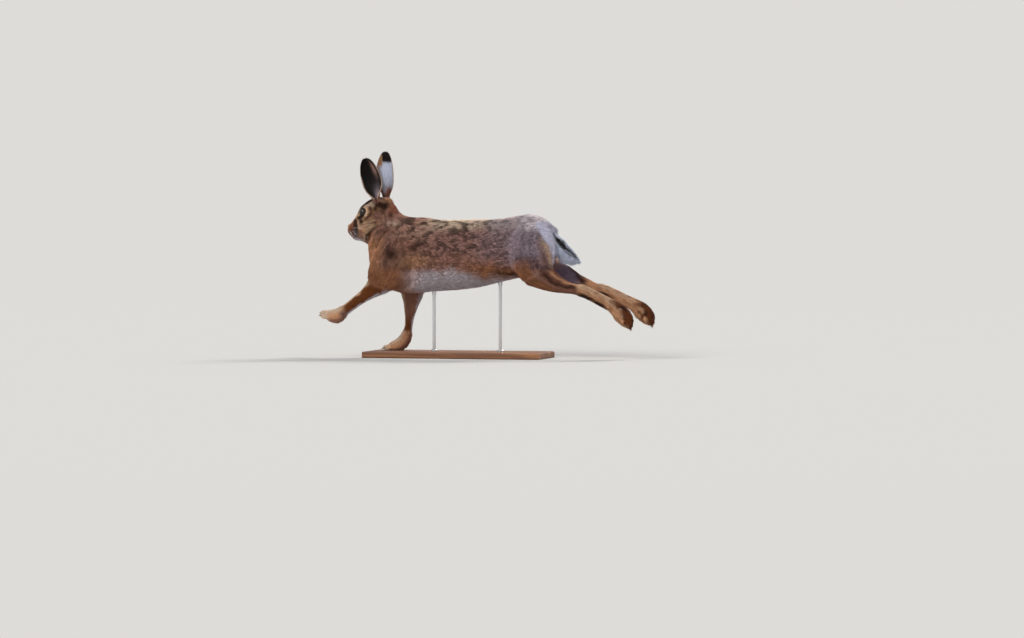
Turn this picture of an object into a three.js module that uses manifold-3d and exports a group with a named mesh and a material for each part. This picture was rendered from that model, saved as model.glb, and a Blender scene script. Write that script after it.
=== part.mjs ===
// Brown hare at full gallop, a still life-size model on a plain display stand.
// Millimetres, +Z up. The hare faces -X and its left side faces -Y.
// The origin is at the middle of the whole model, on the underside of the base.

import * as THREE from 'three';
import { mergeVertices } from 'three/addons/utils/BufferGeometryUtils.js';
import Module from 'manifold-3d';

const wasm = await Module();
wasm.setup();

// Driving dimensions
const GAP = 0.3;
const EYE_RADIUS = 10;
const EYE_PLACE = { x: -188, y: 18, z: 334 };
const EAR_THICKNESS = 2.4;
const BASE_LENGTH = 440;
const BASE_WIDTH = 150;
const BASE_THICKNESS = 15;
const BASE_EDGE = 3;
const BASE_CENTRE_X = 45;
const ROD_RADIUS = 4;
const ROD_PLACES = { front: -15, back: 150 };

// Coat colours
const COAT = {
  back: 0x7d654f,
  flank: 0x6a5346,
  chest: 0xa56f45,
  leg: 0xb27a50,
  foot: 0xb98a60,
  ear: 0x8a735f,
  tail: 0xe4e0dc,
  eye: 0x1a110b,
};
const WOOD = 0x6b4a30;
const STEEL = 0xb9bcc0;

// A hoop is one cross-section of a limb or of the body. It stands upright in the plane that
// holds Y. 'top' and 'low' are its two ends [x, z], 'y' its middle, 'half' its half width.
// 'square' above 2 makes it boxier, 'heavy' above 0 makes its low end wider than its top.
function hoop(top, low, y, half, square = 2.1, heavy = 0) {
  return { top, low, y, half, square, heavy };
}

// A chain draws smooth curves through a row of hoops
function chain(hoops, sides, perSpan) {
  const curveOf = (point) => new THREE.CatmullRomCurve3(hoops.map(point), false, 'catmullrom', 0.5);
  return {
    last: hoops.length - 1,
    sides,
    perSpan,
    top: curveOf((h) => new THREE.Vector3(h.top[0], h.y, h.top[1])),
    low: curveOf((h) => new THREE.Vector3(h.low[0], h.y, h.low[1])),
    girth: curveOf((h) => new THREE.Vector3(h.half, h.square, h.heavy)),
  };
}

// The frame of a chain at a hoop number, which may be a fraction
function frameAt(body, place) {
  const t = THREE.MathUtils.clamp(place / body.last, 0, 1);
  const top = body.top.getPoint(t);
  const low = body.low.getPoint(t);
  const girth = body.girth.getPoint(t);
  const centre = top.clone().add(low).multiplyScalar(0.5);
  const up = top.clone().sub(low).multiplyScalar(0.5);
  const ahead = new THREE.Vector3(0, 1, 0).cross(up).normalize();
  const later = body.top.getPoint(Math.min(1, t + 0.01)).add(body.low.getPoint(Math.min(1, t + 0.01)));
  const sooner = body.top.getPoint(Math.max(0, t - 0.01)).add(body.low.getPoint(Math.max(0, t - 0.01)));
  if (later.sub(sooner).dot(ahead) < 0) ahead.negate();
  return { centre, up, ahead, half: girth.x, square: girth.y, heavy: girth.z };
}

// One point of a cross-section, at an angle from its -Y side over the top. A bulge lifts the
// surface round its place by 'rise', or sinks it where 'rise' is below 0, on both sides alike.
function pointAt(frame, angle, grow, bulges = []) {
  const power = 2 / frame.square;
  const across = Math.sign(Math.cos(angle)) * Math.abs(Math.cos(angle)) ** power;
  const along = Math.sign(Math.sin(angle)) * Math.abs(Math.sin(angle)) ** power;
  const height = frame.up.length() + grow;
  const width = (frame.half + grow) * (1 - frame.heavy * along);
  const point = frame.centre.clone();
  point.addScaledVector(frame.up.clone().normalize(), along * height);
  point.y -= across * width;
  const outward = point.clone().sub(frame.centre).normalize();
  const mirrored = new THREE.Vector3(point.x, Math.abs(point.y), point.z);
  for (const { place, size, rise } of bulges) {
    const away = mirrored.distanceTo(place) / size;
    point.addScaledVector(outward, rise * Math.exp(-away * away));
  }
  return point;
}

// A closed skin over rows of points, flat at both ends
function skin(rows) {
  const count = rows[0].length;
  const positions = [];
  const faces = [];
  for (const row of rows) {
    for (const point of row) positions.push(point.x, point.y, point.z);
  }
  for (const row of [rows[0], rows[rows.length - 1]]) {
    const middle = new THREE.Vector3();
    for (const point of row) middle.addScaledVector(point, 1 / count);
    positions.push(middle.x, middle.y, middle.z);
  }
  const firstMiddle = rows.length * count;
  for (let i = 0; i < count; i += 1) {
    const next = (i + 1) % count;
    for (let r = 0; r + 1 < rows.length; r += 1) {
      const a = r * count + i;
      const b = r * count + next;
      faces.push(a, b, b + count, a, b + count, a + count);
    }
    const end = (rows.length - 1) * count;
    faces.push(firstMiddle, next, i, firstMiddle + 1, end + i, end + next);
  }
  const geometry = new THREE.BufferGeometry();
  geometry.setAttribute('position', new THREE.Float32BufferAttribute(positions, 3));
  geometry.setIndex(faces);
  return geometry;
}

// The stretch of a chain between two hoops. Half a gap is left at its start and at an end that
// meets a neighbour, and 'grow' swells the whole stretch instead.
function stretch(body, from, to, grow = 0, bulges = []) {
  const steps = Math.round((to - from) * body.perSpan);
  const rows = [];
  for (let s = 0; s <= steps; s += 1) {
    const frame = frameAt(body, from + ((to - from) * s) / steps);
    if (s === 0) frame.centre.addScaledVector(frame.ahead, grow > 0 ? -grow : GAP / 2);
    if (s === steps) frame.centre.addScaledVector(frame.ahead, to < body.last ? -GAP / 2 : grow);
    const row = [];
    for (let i = 0; i < body.sides; i += 1) {
      row.push(pointAt(frame, (2 * Math.PI * i) / body.sides, grow, bulges));
    }
    rows.push(row);
  }
  return solidOf(skin(rows));
}

// Joining and cutting
function solidOf(geometry) {
  geometry.deleteAttribute('normal');
  geometry.deleteAttribute('uv');
  const merged = mergeVertices(geometry, 1e-4);
  const vertProperties = Float32Array.from(merged.attributes.position.array);
  const triVerts = Uint32Array.from(merged.index.array);
  const volume = signedVolume(vertProperties, triVerts);
  if (volume < 0) {
    for (let i = 0; i < triVerts.length; i += 3) {
      [triVerts[i], triVerts[i + 1]] = [triVerts[i + 1], triVerts[i]];
    }
  }
  return new wasm.Manifold(new wasm.Mesh({ numProp: 3, vertProperties, triVerts }));
}

function signedVolume(points, faces) {
  const corner = [0, 1, 2].map(() => new THREE.Vector3());
  let sum = 0;
  for (let i = 0; i < faces.length; i += 3) {
    corner.forEach((vector, k) => vector.fromArray(points, 3 * faces[i + k]));
    sum += corner[0].dot(corner[1].clone().cross(corner[2]));
  }
  return sum / 6;
}

function largest(solid) {
  const pieces = solid.decompose();
  return pieces.reduce((best, piece) => (piece.volume() > best.volume() ? piece : best));
}

// The geometry of a solid. The ends of an edge shorter than WELD become one point, and faces
// that collapse, or then lie back to back, are dropped.
const WELD = 0.03;
function geometryOf(solid) {
  const { vertProperties, triVerts } = largest(solid).getMesh();
  const faces = [];
  for (let i = 0; i < triVerts.length; i += 3) faces.push(Array.from(triVerts.slice(i, i + 3)));
  const place = (i) => new THREE.Vector3().fromArray(vertProperties, 3 * i);
  const leaders = Array.from({ length: vertProperties.length / 3 }, (_, i) => i);
  const leaderOf = (i) => (leaders[i] === i ? i : leaderOf(leaders[i]));
  for (const corners of faces) {
    corners.forEach((corner, k) => {
      const next = corners[(k + 1) % 3];
      if (place(corner).distanceTo(place(next)) < WELD) leaders[leaderOf(corner)] = leaderOf(next);
    });
  }
  const kept = new Map();
  for (const corners of faces) {
    const welded = corners.map(leaderOf);
    if (new Set(welded).size < 3) continue;
    const key = [...welded].sort().join();
    if (kept.has(key)) kept.delete(key);
    else kept.set(key, welded);
  }
  const geometry = new THREE.BufferGeometry();
  geometry.setAttribute('position', new THREE.BufferAttribute(vertProperties, 3));
  geometry.setIndex([...kept.values()].flat());
  geometry.computeVertexNormals();
  return geometry;
}

function node(name, solid, colour, roughness = 0.95, metalness = 0) {
  const material = new THREE.MeshStandardMaterial({ color: colour, roughness, metalness });
  const mesh = new THREE.Mesh(geometryOf(solid), material);
  mesh.name = name;
  return mesh;
}

// An egg-shaped form: its middle, its three half sizes and its tilt in the side view
function egg(place, half, tilt = 0, detail = 2) {
  const geometry = new THREE.IcosahedronGeometry(1, detail);
  geometry.scale(...half);
  geometry.rotateY(tilt);
  geometry.translate(...place);
  return solidOf(geometry);
}

// A round bar along a smooth path
function bar(path, radius, steps, sides) {
  const section = new THREE.Shape();
  for (let i = 0; i < sides; i += 1) {
    const angle = (2 * Math.PI * i) / sides;
    const place = [radius * Math.cos(angle), radius * Math.sin(angle)];
    if (i === 0) section.moveTo(...place);
    else section.lineTo(...place);
  }
  const curve = new THREE.CatmullRomCurve3(path);
  return solidOf(new THREE.ExtrudeGeometry(section, { extrudePath: curve, steps }));
}

const hare = new THREE.Group();

// Neck, chest, loin and rump
const trunk = chain([
  hoop([-120, 366], [-184, 258], 0, 29),
  hoop([-111, 352], [-180, 232], 0, 31),
  hoop([-102, 338], [-176, 200], 0, 37),
  hoop([-90, 329], [-160, 164], 0, 44, 2.2),
  hoop([-66, 325], [-106, 140], 0, 49, 2.2),
  hoop([-36, 322], [-54, 139], 0, 52, 2.2, 0.05),
  hoop([0, 317], [-6, 143], 0, 54, 2.2, 0.08),
  hoop([50, 317], [50, 147], 0, 54, 2.2, 0.1),
  hoop([100, 318], [100, 154], 0, 52, 2.2, 0.08),
  hoop([148, 320], [150, 166], 0, 49, 2.2, 0.02),
  hoop([186, 326], [188, 175], 0, 47, 2.2, -0.05),
  hoop([212, 331], [218, 178], 0, 48, 2.2, -0.04),
  hoop([238, 329], [248, 184], 0, 47, 2.2, -0.04),
  hoop([263, 319], [272, 200], 0, 41),
  hoop([281, 304], [286, 222], 0, 28),
  hoop([290, 288], [292, 244], 0, 15),
], 30, 2);
const grownTrunk = stretch(trunk, 0, trunk.last, GAP);
hare.add(node('neck', stretch(trunk, 0, 3), COAT.chest));
hare.add(node('chest', stretch(trunk, 3, 7), COAT.back));
hare.add(node('loin', stretch(trunk, 7, 10), COAT.flank));
hare.add(node('rump', stretch(trunk, 10, trunk.last), COAT.back));

// Head
const skull = chain([
  hoop([-120, 366], [-184, 258], 0, 29),
  hoop([-138, 372], [-187, 259], 0, 30),
  hoop([-157, 371], [-191, 261], 0, 29.5, 2.2),
  hoop([-174, 365], [-196, 263], 0, 28, 2.4, 0.02),
  hoop([-188, 355], [-203, 265], 0, 26, 2.6),
  hoop([-199, 342], [-210, 267], 0, 23, 2.6, 0.01),
  hoop([-208, 329], [-216, 270], 0, 18.5, 2.4, 0.05),
  hoop([-216, 317], [-221, 274], 0, 15.5, 2.2, 0.06),
  hoop([-224, 307], [-226, 279], 0, 13, 2.2, 0.04),
  hoop([-229, 300], [-229, 284], 0, 9.5, 2.2),
  hoop([-231.5, 296], [-231, 288], 0, 5, 2.1),
], 26, 2.4);

// Soft forms of the head on each side: brow, cheek, temple, tear line, whisker pad, chin
function bulge(x, y, z, size, rise) {
  return { place: new THREE.Vector3(x, y, z), size, rise };
}
const headForms = [
  bulge(-189, 25, 335, 14, 3.8),
  bulge(-196, 18, 342, 10, 2.6),
  bulge(-176, 27, 290, 22, 3.5),
  bulge(-162, 26, 338, 12, -2),
  bulge(-207, 18, 313, 9, -2.2),
  bulge(-220, 13, 292, 8, 3.2),
  bulge(-212, 4, 270, 8, 1.5),
  bulge(-150, 0, 370, 14, -2),
];
const grownSkull = stretch(skull, 0, skull.last, GAP, headForms);

// The point of the head's side at a hoop number and a height
function sideOfHead(place, z, sign) {
  const frame = frameAt(skull, place);
  let lowAngle = -Math.PI / 2;
  let highAngle = Math.PI / 2;
  for (let i = 0; i < 24; i += 1) {
    const middle = (lowAngle + highAngle) / 2;
    if (pointAt(frame, middle, 0, headForms).z > z) highAngle = middle;
    else lowAngle = middle;
  }
  const point = pointAt(frame, lowAngle, 0, headForms);
  point.y *= -sign;
  return point;
}

// One side of the mouth, from its corner to the front, 'lift' above or below its line
const MOUTH = { corner: 5.8, front: 9.2, cornerZ: 277, frontZ: 284.5, droop: 1.5, steps: 6 };
function mouthSide(sign, lift = 0) {
  const points = [];
  for (let i = 0; i <= MOUTH.steps; i += 1) {
    const share = i / MOUTH.steps;
    const place = THREE.MathUtils.lerp(MOUTH.corner, MOUTH.front, share);
    const level = THREE.MathUtils.lerp(MOUTH.cornerZ, MOUTH.frontZ, share);
    points.push(sideOfHead(place, level - MOUTH.droop * Math.sin(Math.PI * share) + lift, sign));
  }
  return points;
}

// The lips are two soft rolls in the surface, above and below a groove from corner to corner
const LIP = { lift: 2.4, size: 2.6, rise: 1.3, groove: 1.0 };
const lipForms = [LIP.lift, -LIP.lift].flatMap((lift) => (
  mouthSide(1, lift).map((point) => bulge(point.x, point.y, point.z, LIP.size, LIP.rise))
));
const mouthLine = [...mouthSide(-1), ...mouthSide(1).reverse()];

// A lid is a round rim that lies on the eyeball, longer than it is high
const LID = { width: 9.6, height: 8.4, reach: 7.2, thickness: 1.5, slant: 0.5, turn: -0.28 };
function lidRim(sign) {
  const points = [];
  const count = 12;
  for (let i = 0; i < count; i += 1) {
    const angle = (2 * Math.PI * i) / count;
    const corner = Math.cos(angle);
    const point = new THREE.Vector3(
      LID.width * corner,
      -(LID.reach - 1.5 * corner * corner),
      LID.height * Math.sin(angle),
    );
    point.applyAxisAngle(new THREE.Vector3(0, 1, 0), LID.slant);
    point.applyAxisAngle(new THREE.Vector3(0, 0, 1), LID.turn);
    point.y *= -sign;
    points.push(point.add(eyePlace(sign)));
  }
  const section = new THREE.Shape();
  section.absellipse(0, 0, LID.thickness, LID.thickness, 0, 2 * Math.PI);
  const path = new THREE.CatmullRomCurve3(points, true);
  return solidOf(new THREE.ExtrudeGeometry(section, { extrudePath: path, steps: 16, curveSegments: 3 }));
}

// The flesh round the eyeball and the opening between the lids
const ORBIT = { half: [12.2, 9.4, 11.4], tilt: 0.4 };
function lidOpening(sign) {
  const geometry = new THREE.IcosahedronGeometry(1, 1);
  geometry.scale(LID.width, 2 * LID.reach, LID.height);
  geometry.translate(0, -1.9 * LID.reach, 0);
  geometry.rotateY(LID.slant);
  geometry.rotateZ(LID.turn);
  if (sign > 0) geometry.scale(1, -1, 1);
  geometry.translate(...eyePlace(sign).toArray());
  return solidOf(geometry);
}

function eyePlace(sign) {
  return new THREE.Vector3(EYE_PLACE.x, sign * EYE_PLACE.y, EYE_PLACE.z);
}

function eyeball(sign, grow) {
  return egg(eyePlace(sign).toArray(), Array(3).fill(EYE_RADIUS + grow), 0, 2);
}

// The nose pad, its nostrils and the cleft of the upper lip below it
const NOSE = { place: [-225.5, 0, 298], half: [7, 8.5, 6.5], tilt: 0.7 };
const NOSTRIL = { x: -231.5, y: 4.6, z: 299.5, half: [4, 1.3, 2.4], tilt: 0.4 };
const CLEFT = { place: [-233, 0, 290], half: [3, 0.7, 5.5], tilt: -0.1 };

let head = stretch(skull, 0, skull.last, 0, [...headForms, ...lipForms]);
head = head.add(egg(NOSE.place, NOSE.half, NOSE.tilt, 1));
head = head.subtract(bar(mouthLine, LIP.groove, 15, 4));
for (const sign of [-1, 1]) {
  head = head.add(egg(eyePlace(sign).toArray(), ORBIT.half, ORBIT.tilt, 2));
  head = head.subtract(lidOpening(sign));
  head = head.add(lidRim(sign));
  head = head.subtract(eyeball(sign, GAP));
  head = head.subtract(egg([NOSTRIL.x, sign * NOSTRIL.y, NOSTRIL.z], NOSTRIL.half, NOSTRIL.tilt, 0));
}
head = head.subtract(egg(CLEFT.place, CLEFT.half, CLEFT.tilt, 0));
hare.add(node('head', head, COAT.back));
hare.add(node('eye_left', eyeball(-1, 0), COAT.eye, 0.1));
hare.add(node('eye_right', eyeball(1, 0), COAT.eye, 0.1));

// Ears: a curled leaf, the same triangles on its two faces
const EAR = { alongSteps: 14, acrossSteps: 8, rootCurl: 2.9, tipCurl: 0.85, closed: 0.24, bend: 7 };
function ear(root, tip, opening, halfSpread) {
  const axis = new THREE.Vector3(...tip).sub(new THREE.Vector3(...root));
  const lengthwise = axis.clone().normalize();
  const front = new THREE.Vector3(...opening);
  front.addScaledVector(lengthwise, -front.dot(lengthwise)).normalize();
  const across = lengthwise.clone().cross(front);
  const faces = [[], []];
  for (let v = 0; v <= EAR.alongSteps; v += 1) {
    const share = v / EAR.alongSteps;
    const leaf = Math.sqrt(Math.sin(Math.PI * (0.12 + 0.87 * share ** 1.15)));
    const openness = Math.exp(-((share / EAR.closed) ** 2));
    const curl = THREE.MathUtils.lerp(EAR.tipCurl, EAR.rootCurl, openness);
    const radius = (halfSpread * leaf) / curl;
    const bend = EAR.bend * Math.sin(Math.PI * share);
    for (let u = 0; u <= EAR.acrossSteps; u += 1) {
      const angle = curl * ((2 * u) / EAR.acrossSteps - 1);
      for (const side of [0, 1]) {
        const r = radius + (side === 0 ? EAR_THICKNESS / 2 : -EAR_THICKNESS / 2);
        const point = new THREE.Vector3(...root).addScaledVector(axis, share);
        point.addScaledVector(across, r * Math.sin(angle));
        point.addScaledVector(front, radius * 0.6 - r * Math.cos(angle) - bend);
        faces[side].push(point);
      }
    }
  }
  return leafSkin(faces[0], faces[1], EAR.alongSteps, EAR.acrossSteps);
}

function leafSkin(outer, inner, rows, columns) {
  const positions = [...outer, ...inner].flatMap((point) => point.toArray());
  const faces = [];
  const wide = columns + 1;
  const under = outer.length;
  const quad = (a, b, c, d) => faces.push(a, b, c, a, c, d);
  for (let v = 0; v < rows; v += 1) {
    for (let u = 0; u < columns; u += 1) {
      const a = v * wide + u;
      quad(a, a + 1, a + 1 + wide, a + wide);
      faces.push(under + a, under + a + 1 + wide, under + a + 1);
      faces.push(under + a, under + a + wide, under + a + 1 + wide);
    }
    const left = v * wide;
    const right = left + columns;
    quad(left, left + wide, left + wide + under, left + under);
    quad(right + wide, right, right + under, right + wide + under);
  }
  for (let u = 0; u < columns; u += 1) {
    const top = rows * wide + u;
    quad(u + 1, u, u + under, u + 1 + under);
    quad(top, top + 1, top + 1 + under, top + under);
  }
  const geometry = new THREE.BufferGeometry();
  geometry.setAttribute('position', new THREE.Float32BufferAttribute(positions, 3));
  geometry.setIndex(faces);
  return solidOf(geometry);
}

// Each ear with the fleshy root that closes the bottom of its cup. 'facing' is the way that
// the cup opens, and 'spread' half the width of the leaf laid flat.
const EAR_ROOT = [10.5, 8, 12];
const EARS = {
  left: { root: [-153, -14, 356], tip: [-182, -22, 463], facing: [0.1, -1, 0.05], spread: 28, tilt: 0.25 },
  right: { root: [-140, 14, 358], tip: [-143, 20, 479], facing: [0, 1, 0.05], spread: 25.5, tilt: 0.02 },
};
for (const [name, { root, tip, facing, spread, tilt }] of Object.entries(EARS)) {
  const outward = 2 * Math.sign(root[1]);
  const flesh = egg([root[0], root[1] + outward, root[2] + 2], EAR_ROOT, tilt, 1);
  const whole = ear(root, tip, facing, spread).add(flesh);
  hare.add(node(`ear_${name}`, whole.subtract(grownSkull).subtract(grownTrunk), COAT.ear));
}

// Tail
const tail = chain([
  hoop([268, 302], [256, 262], 0, 12),
  hoop([291, 293], [270, 248], 0, 16),
  hoop([311, 275], [286, 230], 0, 19),
  hoop([330, 255], [306, 217], 0, 18),
  hoop([346, 237], [330, 210], 0, 12),
  hoop([358, 222], [353, 213], 0, 4),
], 16, 2);
hare.add(node('tail', stretch(tail, 0, tail.last).subtract(grownTrunk), COAT.tail));

// Toes and claws: each is an egg and a cone that point along the foot's end
function toes(solid, places, half, tilt, claw) {
  let paw = solid;
  for (const [x, y, z] of places) {
    paw = paw.add(egg([x, y, z], half, tilt, 1));
    const nail = new THREE.ConeGeometry(claw.radius, claw.length, 6);
    nail.rotateZ(Math.PI / 2);
    if (claw.back) nail.rotateY(Math.PI);
    nail.rotateY(tilt);
    const reach = (half[0] + claw.length * 0.3) * (claw.back ? 1 : -1);
    nail.translate(x + reach * Math.cos(tilt), y, z - reach * Math.sin(tilt));
    paw = paw.add(solidOf(nail));
  }
  return paw;
}

// Forelegs: the left one reaches forward, the right one stands on the base
function spreadOfToes(x, y, z, width, arch) {
  return [-1.5, -0.5, 0.5, 1.5].map((step) => {
    const setBack = Math.abs(step) - 0.5;
    return [x + arch[0] * setBack, y + (step * width) / 3, z + arch[1] * setBack];
  });
}

const leftForeleg = chain([
  hoop([-110, 302], [-76, 304], -14, 12),
  hoop([-137, 274], [-60, 280], -25, 22),
  hoop([-156, 244], [-52, 244], -32, 25),
  hoop([-168, 213], [-60, 203], -36, 22),
  hoop([-172, 190], [-80, 166], -39, 17.5),
  hoop([-173, 170], [-108, 143], -39, 14),
  hoop([-186, 152], [-146, 129], -37, 12.5),
  hoop([-203, 137], [-175, 116], -36, 11.5),
  hoop([-220, 124], [-199, 100], -35, 10.5),
  hoop([-236, 111], [-222, 84], -34, 10),
  hoop([-249, 103], [-240, 67], -33, 11.5),
  hoop([-263, 99], [-256, 66], -32, 13.5),
  hoop([-274, 96], [-270, 71], -32, 12.5),
  hoop([-281, 92], [-279, 78], -32, 8),
], 16, 1.6);
const rightForeleg = chain([
  hoop([-106, 302], [-68, 304], 14, 12),
  hoop([-134, 274], [-52, 278], 25, 22),
  hoop([-150, 240], [-42, 242], 32, 25),
  hoop([-149, 204], [-36, 202], 36, 22),
  hoop([-134, 174], [-40, 168], 39, 17.5),
  hoop([-117, 149], [-46, 140], 38, 14.5),
  hoop([-106, 120], [-58, 116], 36, 12.5),
  hoop([-102, 95], [-67, 94], 34, 11),
  hoop([-100, 69], [-75, 68], 33, 9.5),
  hoop([-104, 48], [-78, 42], 33, 10),
  hoop([-112, 34], [-86, 15], 33, 11.5),
  hoop([-122, 26], [-102, 0], 33, 13),
  hoop([-134, 19], [-120, -2], 33, 13),
  hoop([-144, 12], [-138, -1], 33, 9),
], 16, 1.6);

// The room below the ground line, which leaves a flat sole
function belowGround() {
  const room = new THREE.BoxGeometry(BASE_LENGTH, BASE_WIDTH, BASE_THICKNESS);
  room.translate(BASE_CENTRE_X, 0, -BASE_THICKNESS / 2);
  return solidOf(room);
}

function foreleg(name, leg, paw) {
  hare.add(node(`upper_arm_${name}`, stretch(leg, 0, 5).subtract(grownTrunk), COAT.chest));
  hare.add(node(`forearm_${name}`, stretch(leg, 5, 9).subtract(grownTrunk), COAT.leg));
  hare.add(node(`fore_paw_${name}`, paw, COAT.foot));
}
const FORE_CLAW = { radius: 1.4, length: 7, back: false };
const FORE_SPREAD = 19;
const leftPaw = toes(
  stretch(leftForeleg, 9, leftForeleg.last),
  spreadOfToes(-277, -32, 83, FORE_SPREAD, [5, 0]),
  [10, 4.4, 7],
  0.1,
  FORE_CLAW,
);
const rightPaw = toes(
  stretch(rightForeleg, 9, rightForeleg.last),
  spreadOfToes(-142, 33, 5.5, FORE_SPREAD, [5, 0]),
  [10, 4.4, 6],
  -0.12,
  FORE_CLAW,
).subtract(belowGround());
foreleg('left', leftForeleg, leftPaw);
foreleg('right', rightForeleg, rightPaw);

// Hind legs: both are stretched out behind, the right one farther. 'reach' moves the hock
// back, 'calf' lifts the middle of the shin and 'toe' lifts the end of the foot.
function hindLeg(sign, { reach, calf, toe }) {
  const hoops = [
    hoop([224, 318], [256, 316], 10, 10),
    hoop([192, 298], [280, 296], 24, 27),
    hoop([180, 262], [292, 262], 32, 32),
    hoop([184, 226], [296, 230], 37, 31),
    hoop([198, 192], [294, 214], 41, 27),
    hoop([217, 169], [293, 208], 43, 22.5),
    hoop([242, 156], [299, 200], 42, 19),
    hoop([270, 147], [307, 190], 40, 16),
    hoop([298, 142], [319, 179], 37, 14),
    hoop([324, 140], [336, 172], 35, 12),
    hoop([348, 137], [352, 166], 34, 10.5),
    hoop([372, 129], [366, 163], 33, 10.5),
    hoop([393, 118], [392, 151], 32, 11.5),
    hoop([413, 108], [418, 138], 32, 12.5),
    hoop([430, 98], [440, 127], 32, 14),
    hoop([439, 83], [461, 117], 32, 16),
    hoop([451, 72], [478, 101], 32, 16.5),
    hoop([462, 64], [486, 84], 32, 14),
    hoop([471, 60], [485, 70], 32, 8.5),
  ];
  const hock = 11;
  const foot = hoops.length - 1 - hock;
  return chain(hoops.map((h, i) => {
    const back = reach * THREE.MathUtils.smoothstep(i, 3, hock);
    const swing = Math.sin(Math.PI * THREE.MathUtils.clamp((i - 3) / (hock - 4), 0, 1));
    const tiptoe = Math.max(0, i - hock) / foot;
    const moved = ([x, z]) => [x + back + 0.6 * toe * tiptoe, z + calf * swing + toe * tiptoe];
    return hoop(moved(h.top), moved(h.low), sign * h.y, h.half);
  }), 18, 1.4);
}
const HIND_CLAW = { radius: 1.5, length: 7, back: true };
const HIND_TOE = { x: 474, y: 32, z: 71, spread: 25, half: [13, 5, 8.5], tilt: 1.15 };
const HIND_LEGS = {
  left: { sign: -1, reach: 0, calf: 0, toe: 0 },
  right: { sign: 1, reach: 34, calf: 9, toe: 6 },
};
for (const [name, side] of Object.entries(HIND_LEGS)) {
  const leg = hindLeg(side.sign, side);
  const foot = toes(
    stretch(leg, 10, leg.last),
    spreadOfToes(
      HIND_TOE.x + side.reach + 0.6 * side.toe,
      side.sign * HIND_TOE.y,
      HIND_TOE.z + side.toe,
      HIND_TOE.spread,
      [-5, 3],
    ),
    HIND_TOE.half,
    HIND_TOE.tilt,
    HIND_CLAW,
  );
  hare.add(node(`thigh_${name}`, stretch(leg, 0, 5).subtract(grownTrunk), COAT.back));
  hare.add(node(`shin_${name}`, stretch(leg, 5, 10).subtract(grownTrunk), COAT.leg));
  hare.add(node(`hind_foot_${name}`, foot, COAT.foot));
}

// Stand: a flat board and two rods that end just under the body
const outline = new THREE.Shape();
const boardX = BASE_LENGTH / 2 - BASE_EDGE;
const boardY = BASE_WIDTH / 2 - BASE_EDGE;
outline.moveTo(-boardX, -boardY);
outline.lineTo(boardX, -boardY);
outline.lineTo(boardX, boardY);
outline.lineTo(-boardX, boardY);
const board = new THREE.ExtrudeGeometry(outline, {
  depth: BASE_THICKNESS - 2 * BASE_EDGE,
  bevelThickness: BASE_EDGE,
  bevelSize: BASE_EDGE,
  bevelSegments: 3,
});
board.translate(BASE_CENTRE_X, 0, BASE_EDGE - BASE_THICKNESS - GAP);
hare.add(node('stand_base', solidOf(board), WOOD, 0.5));

// Each rod is the part of a long bar that lies below the body
const ROD_STOCK = 240;
for (const [name, x] of Object.entries(ROD_PLACES)) {
  const stock = new THREE.CylinderGeometry(ROD_RADIUS, ROD_RADIUS, ROD_STOCK, 20);
  stock.rotateX(Math.PI / 2);
  stock.translate(x, 0, ROD_STOCK / 2);
  const lengths = solidOf(stock).subtract(grownTrunk).decompose();
  const lowest = lengths.reduce((best, length) => {
    const lower = length.boundingBox().min[2] < best.boundingBox().min[2];
    return lower ? length : best;
  });
  hare.add(node(`stand_rod_${name}`, lowest, STEEL, 0.3, 1));
}

// The whole model, moved so that its box is centred on the origin and stands on z = 0
const box = new THREE.Box3().setFromObject(hare);
hare.position.set(-(box.min.x + box.max.x) / 2, -(box.min.y + box.max.y) / 2, -box.min.z);
const model = new THREE.Group();
model.add(hare);
model.updateMatrixWorld(true);

export default model;
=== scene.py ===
# %% [markdown]
# # A brown hare at full gallop
# The finished CAD frame holds the hare's solids and its display stand. This lesson dresses
# that frame: one skin, eyes, claws, whiskers and a coat of mesh tufts, then wood and steel.
# Blender works in metres. The animal's own measures are easier to read in millimetres, so
# the cells below keep them in millimetres and turn them to metres in one place.

# %% The frame
import math
import bmesh
import bpy
import numpy as np
from mathutils import Matrix, Quaternion, Vector
from mathutils.bvhtree import BVHTree
from mathutils.kdtree import KDTree


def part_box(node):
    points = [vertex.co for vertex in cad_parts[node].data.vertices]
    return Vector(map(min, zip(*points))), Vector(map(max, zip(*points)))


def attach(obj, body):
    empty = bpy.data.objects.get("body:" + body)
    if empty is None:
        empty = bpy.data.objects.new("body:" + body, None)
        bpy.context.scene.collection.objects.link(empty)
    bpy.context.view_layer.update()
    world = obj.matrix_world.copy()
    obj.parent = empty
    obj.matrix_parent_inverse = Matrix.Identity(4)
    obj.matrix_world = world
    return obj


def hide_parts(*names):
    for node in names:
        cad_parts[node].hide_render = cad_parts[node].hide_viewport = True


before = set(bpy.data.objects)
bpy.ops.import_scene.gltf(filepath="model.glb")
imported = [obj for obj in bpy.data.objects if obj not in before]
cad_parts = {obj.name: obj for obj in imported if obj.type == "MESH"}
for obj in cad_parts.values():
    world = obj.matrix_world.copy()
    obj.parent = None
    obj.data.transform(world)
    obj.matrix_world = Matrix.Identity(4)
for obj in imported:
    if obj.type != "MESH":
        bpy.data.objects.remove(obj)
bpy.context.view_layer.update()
FLESH = [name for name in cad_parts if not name.startswith(("eye_", "stand_"))]

# %% [markdown]
# ## One origin for all measures
# The hare is measured from a point on the board's top: x grows towards its hind feet, y
# towards its right side and z up. The board's own box tells where that point lies in the
# frame, so nothing here is fitted by eye.

# %% Millimetres and metres
MM = 1000
BOARD_MIDDLE_X = 45.0
BOARD_GAP = 0.3
board_low, board_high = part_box("stand_base")
ORIGIN = np.array([
    MM * (board_low.x + board_high.x) / 2 - BOARD_MIDDLE_X,
    0.0,
    MM * board_high.z + BOARD_GAP,
])


def metres(points):
    return (np.asarray(points, float) + ORIGIN) / MM


def millimetres(points):
    return np.asarray(points, float) * MM - ORIGIN


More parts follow.
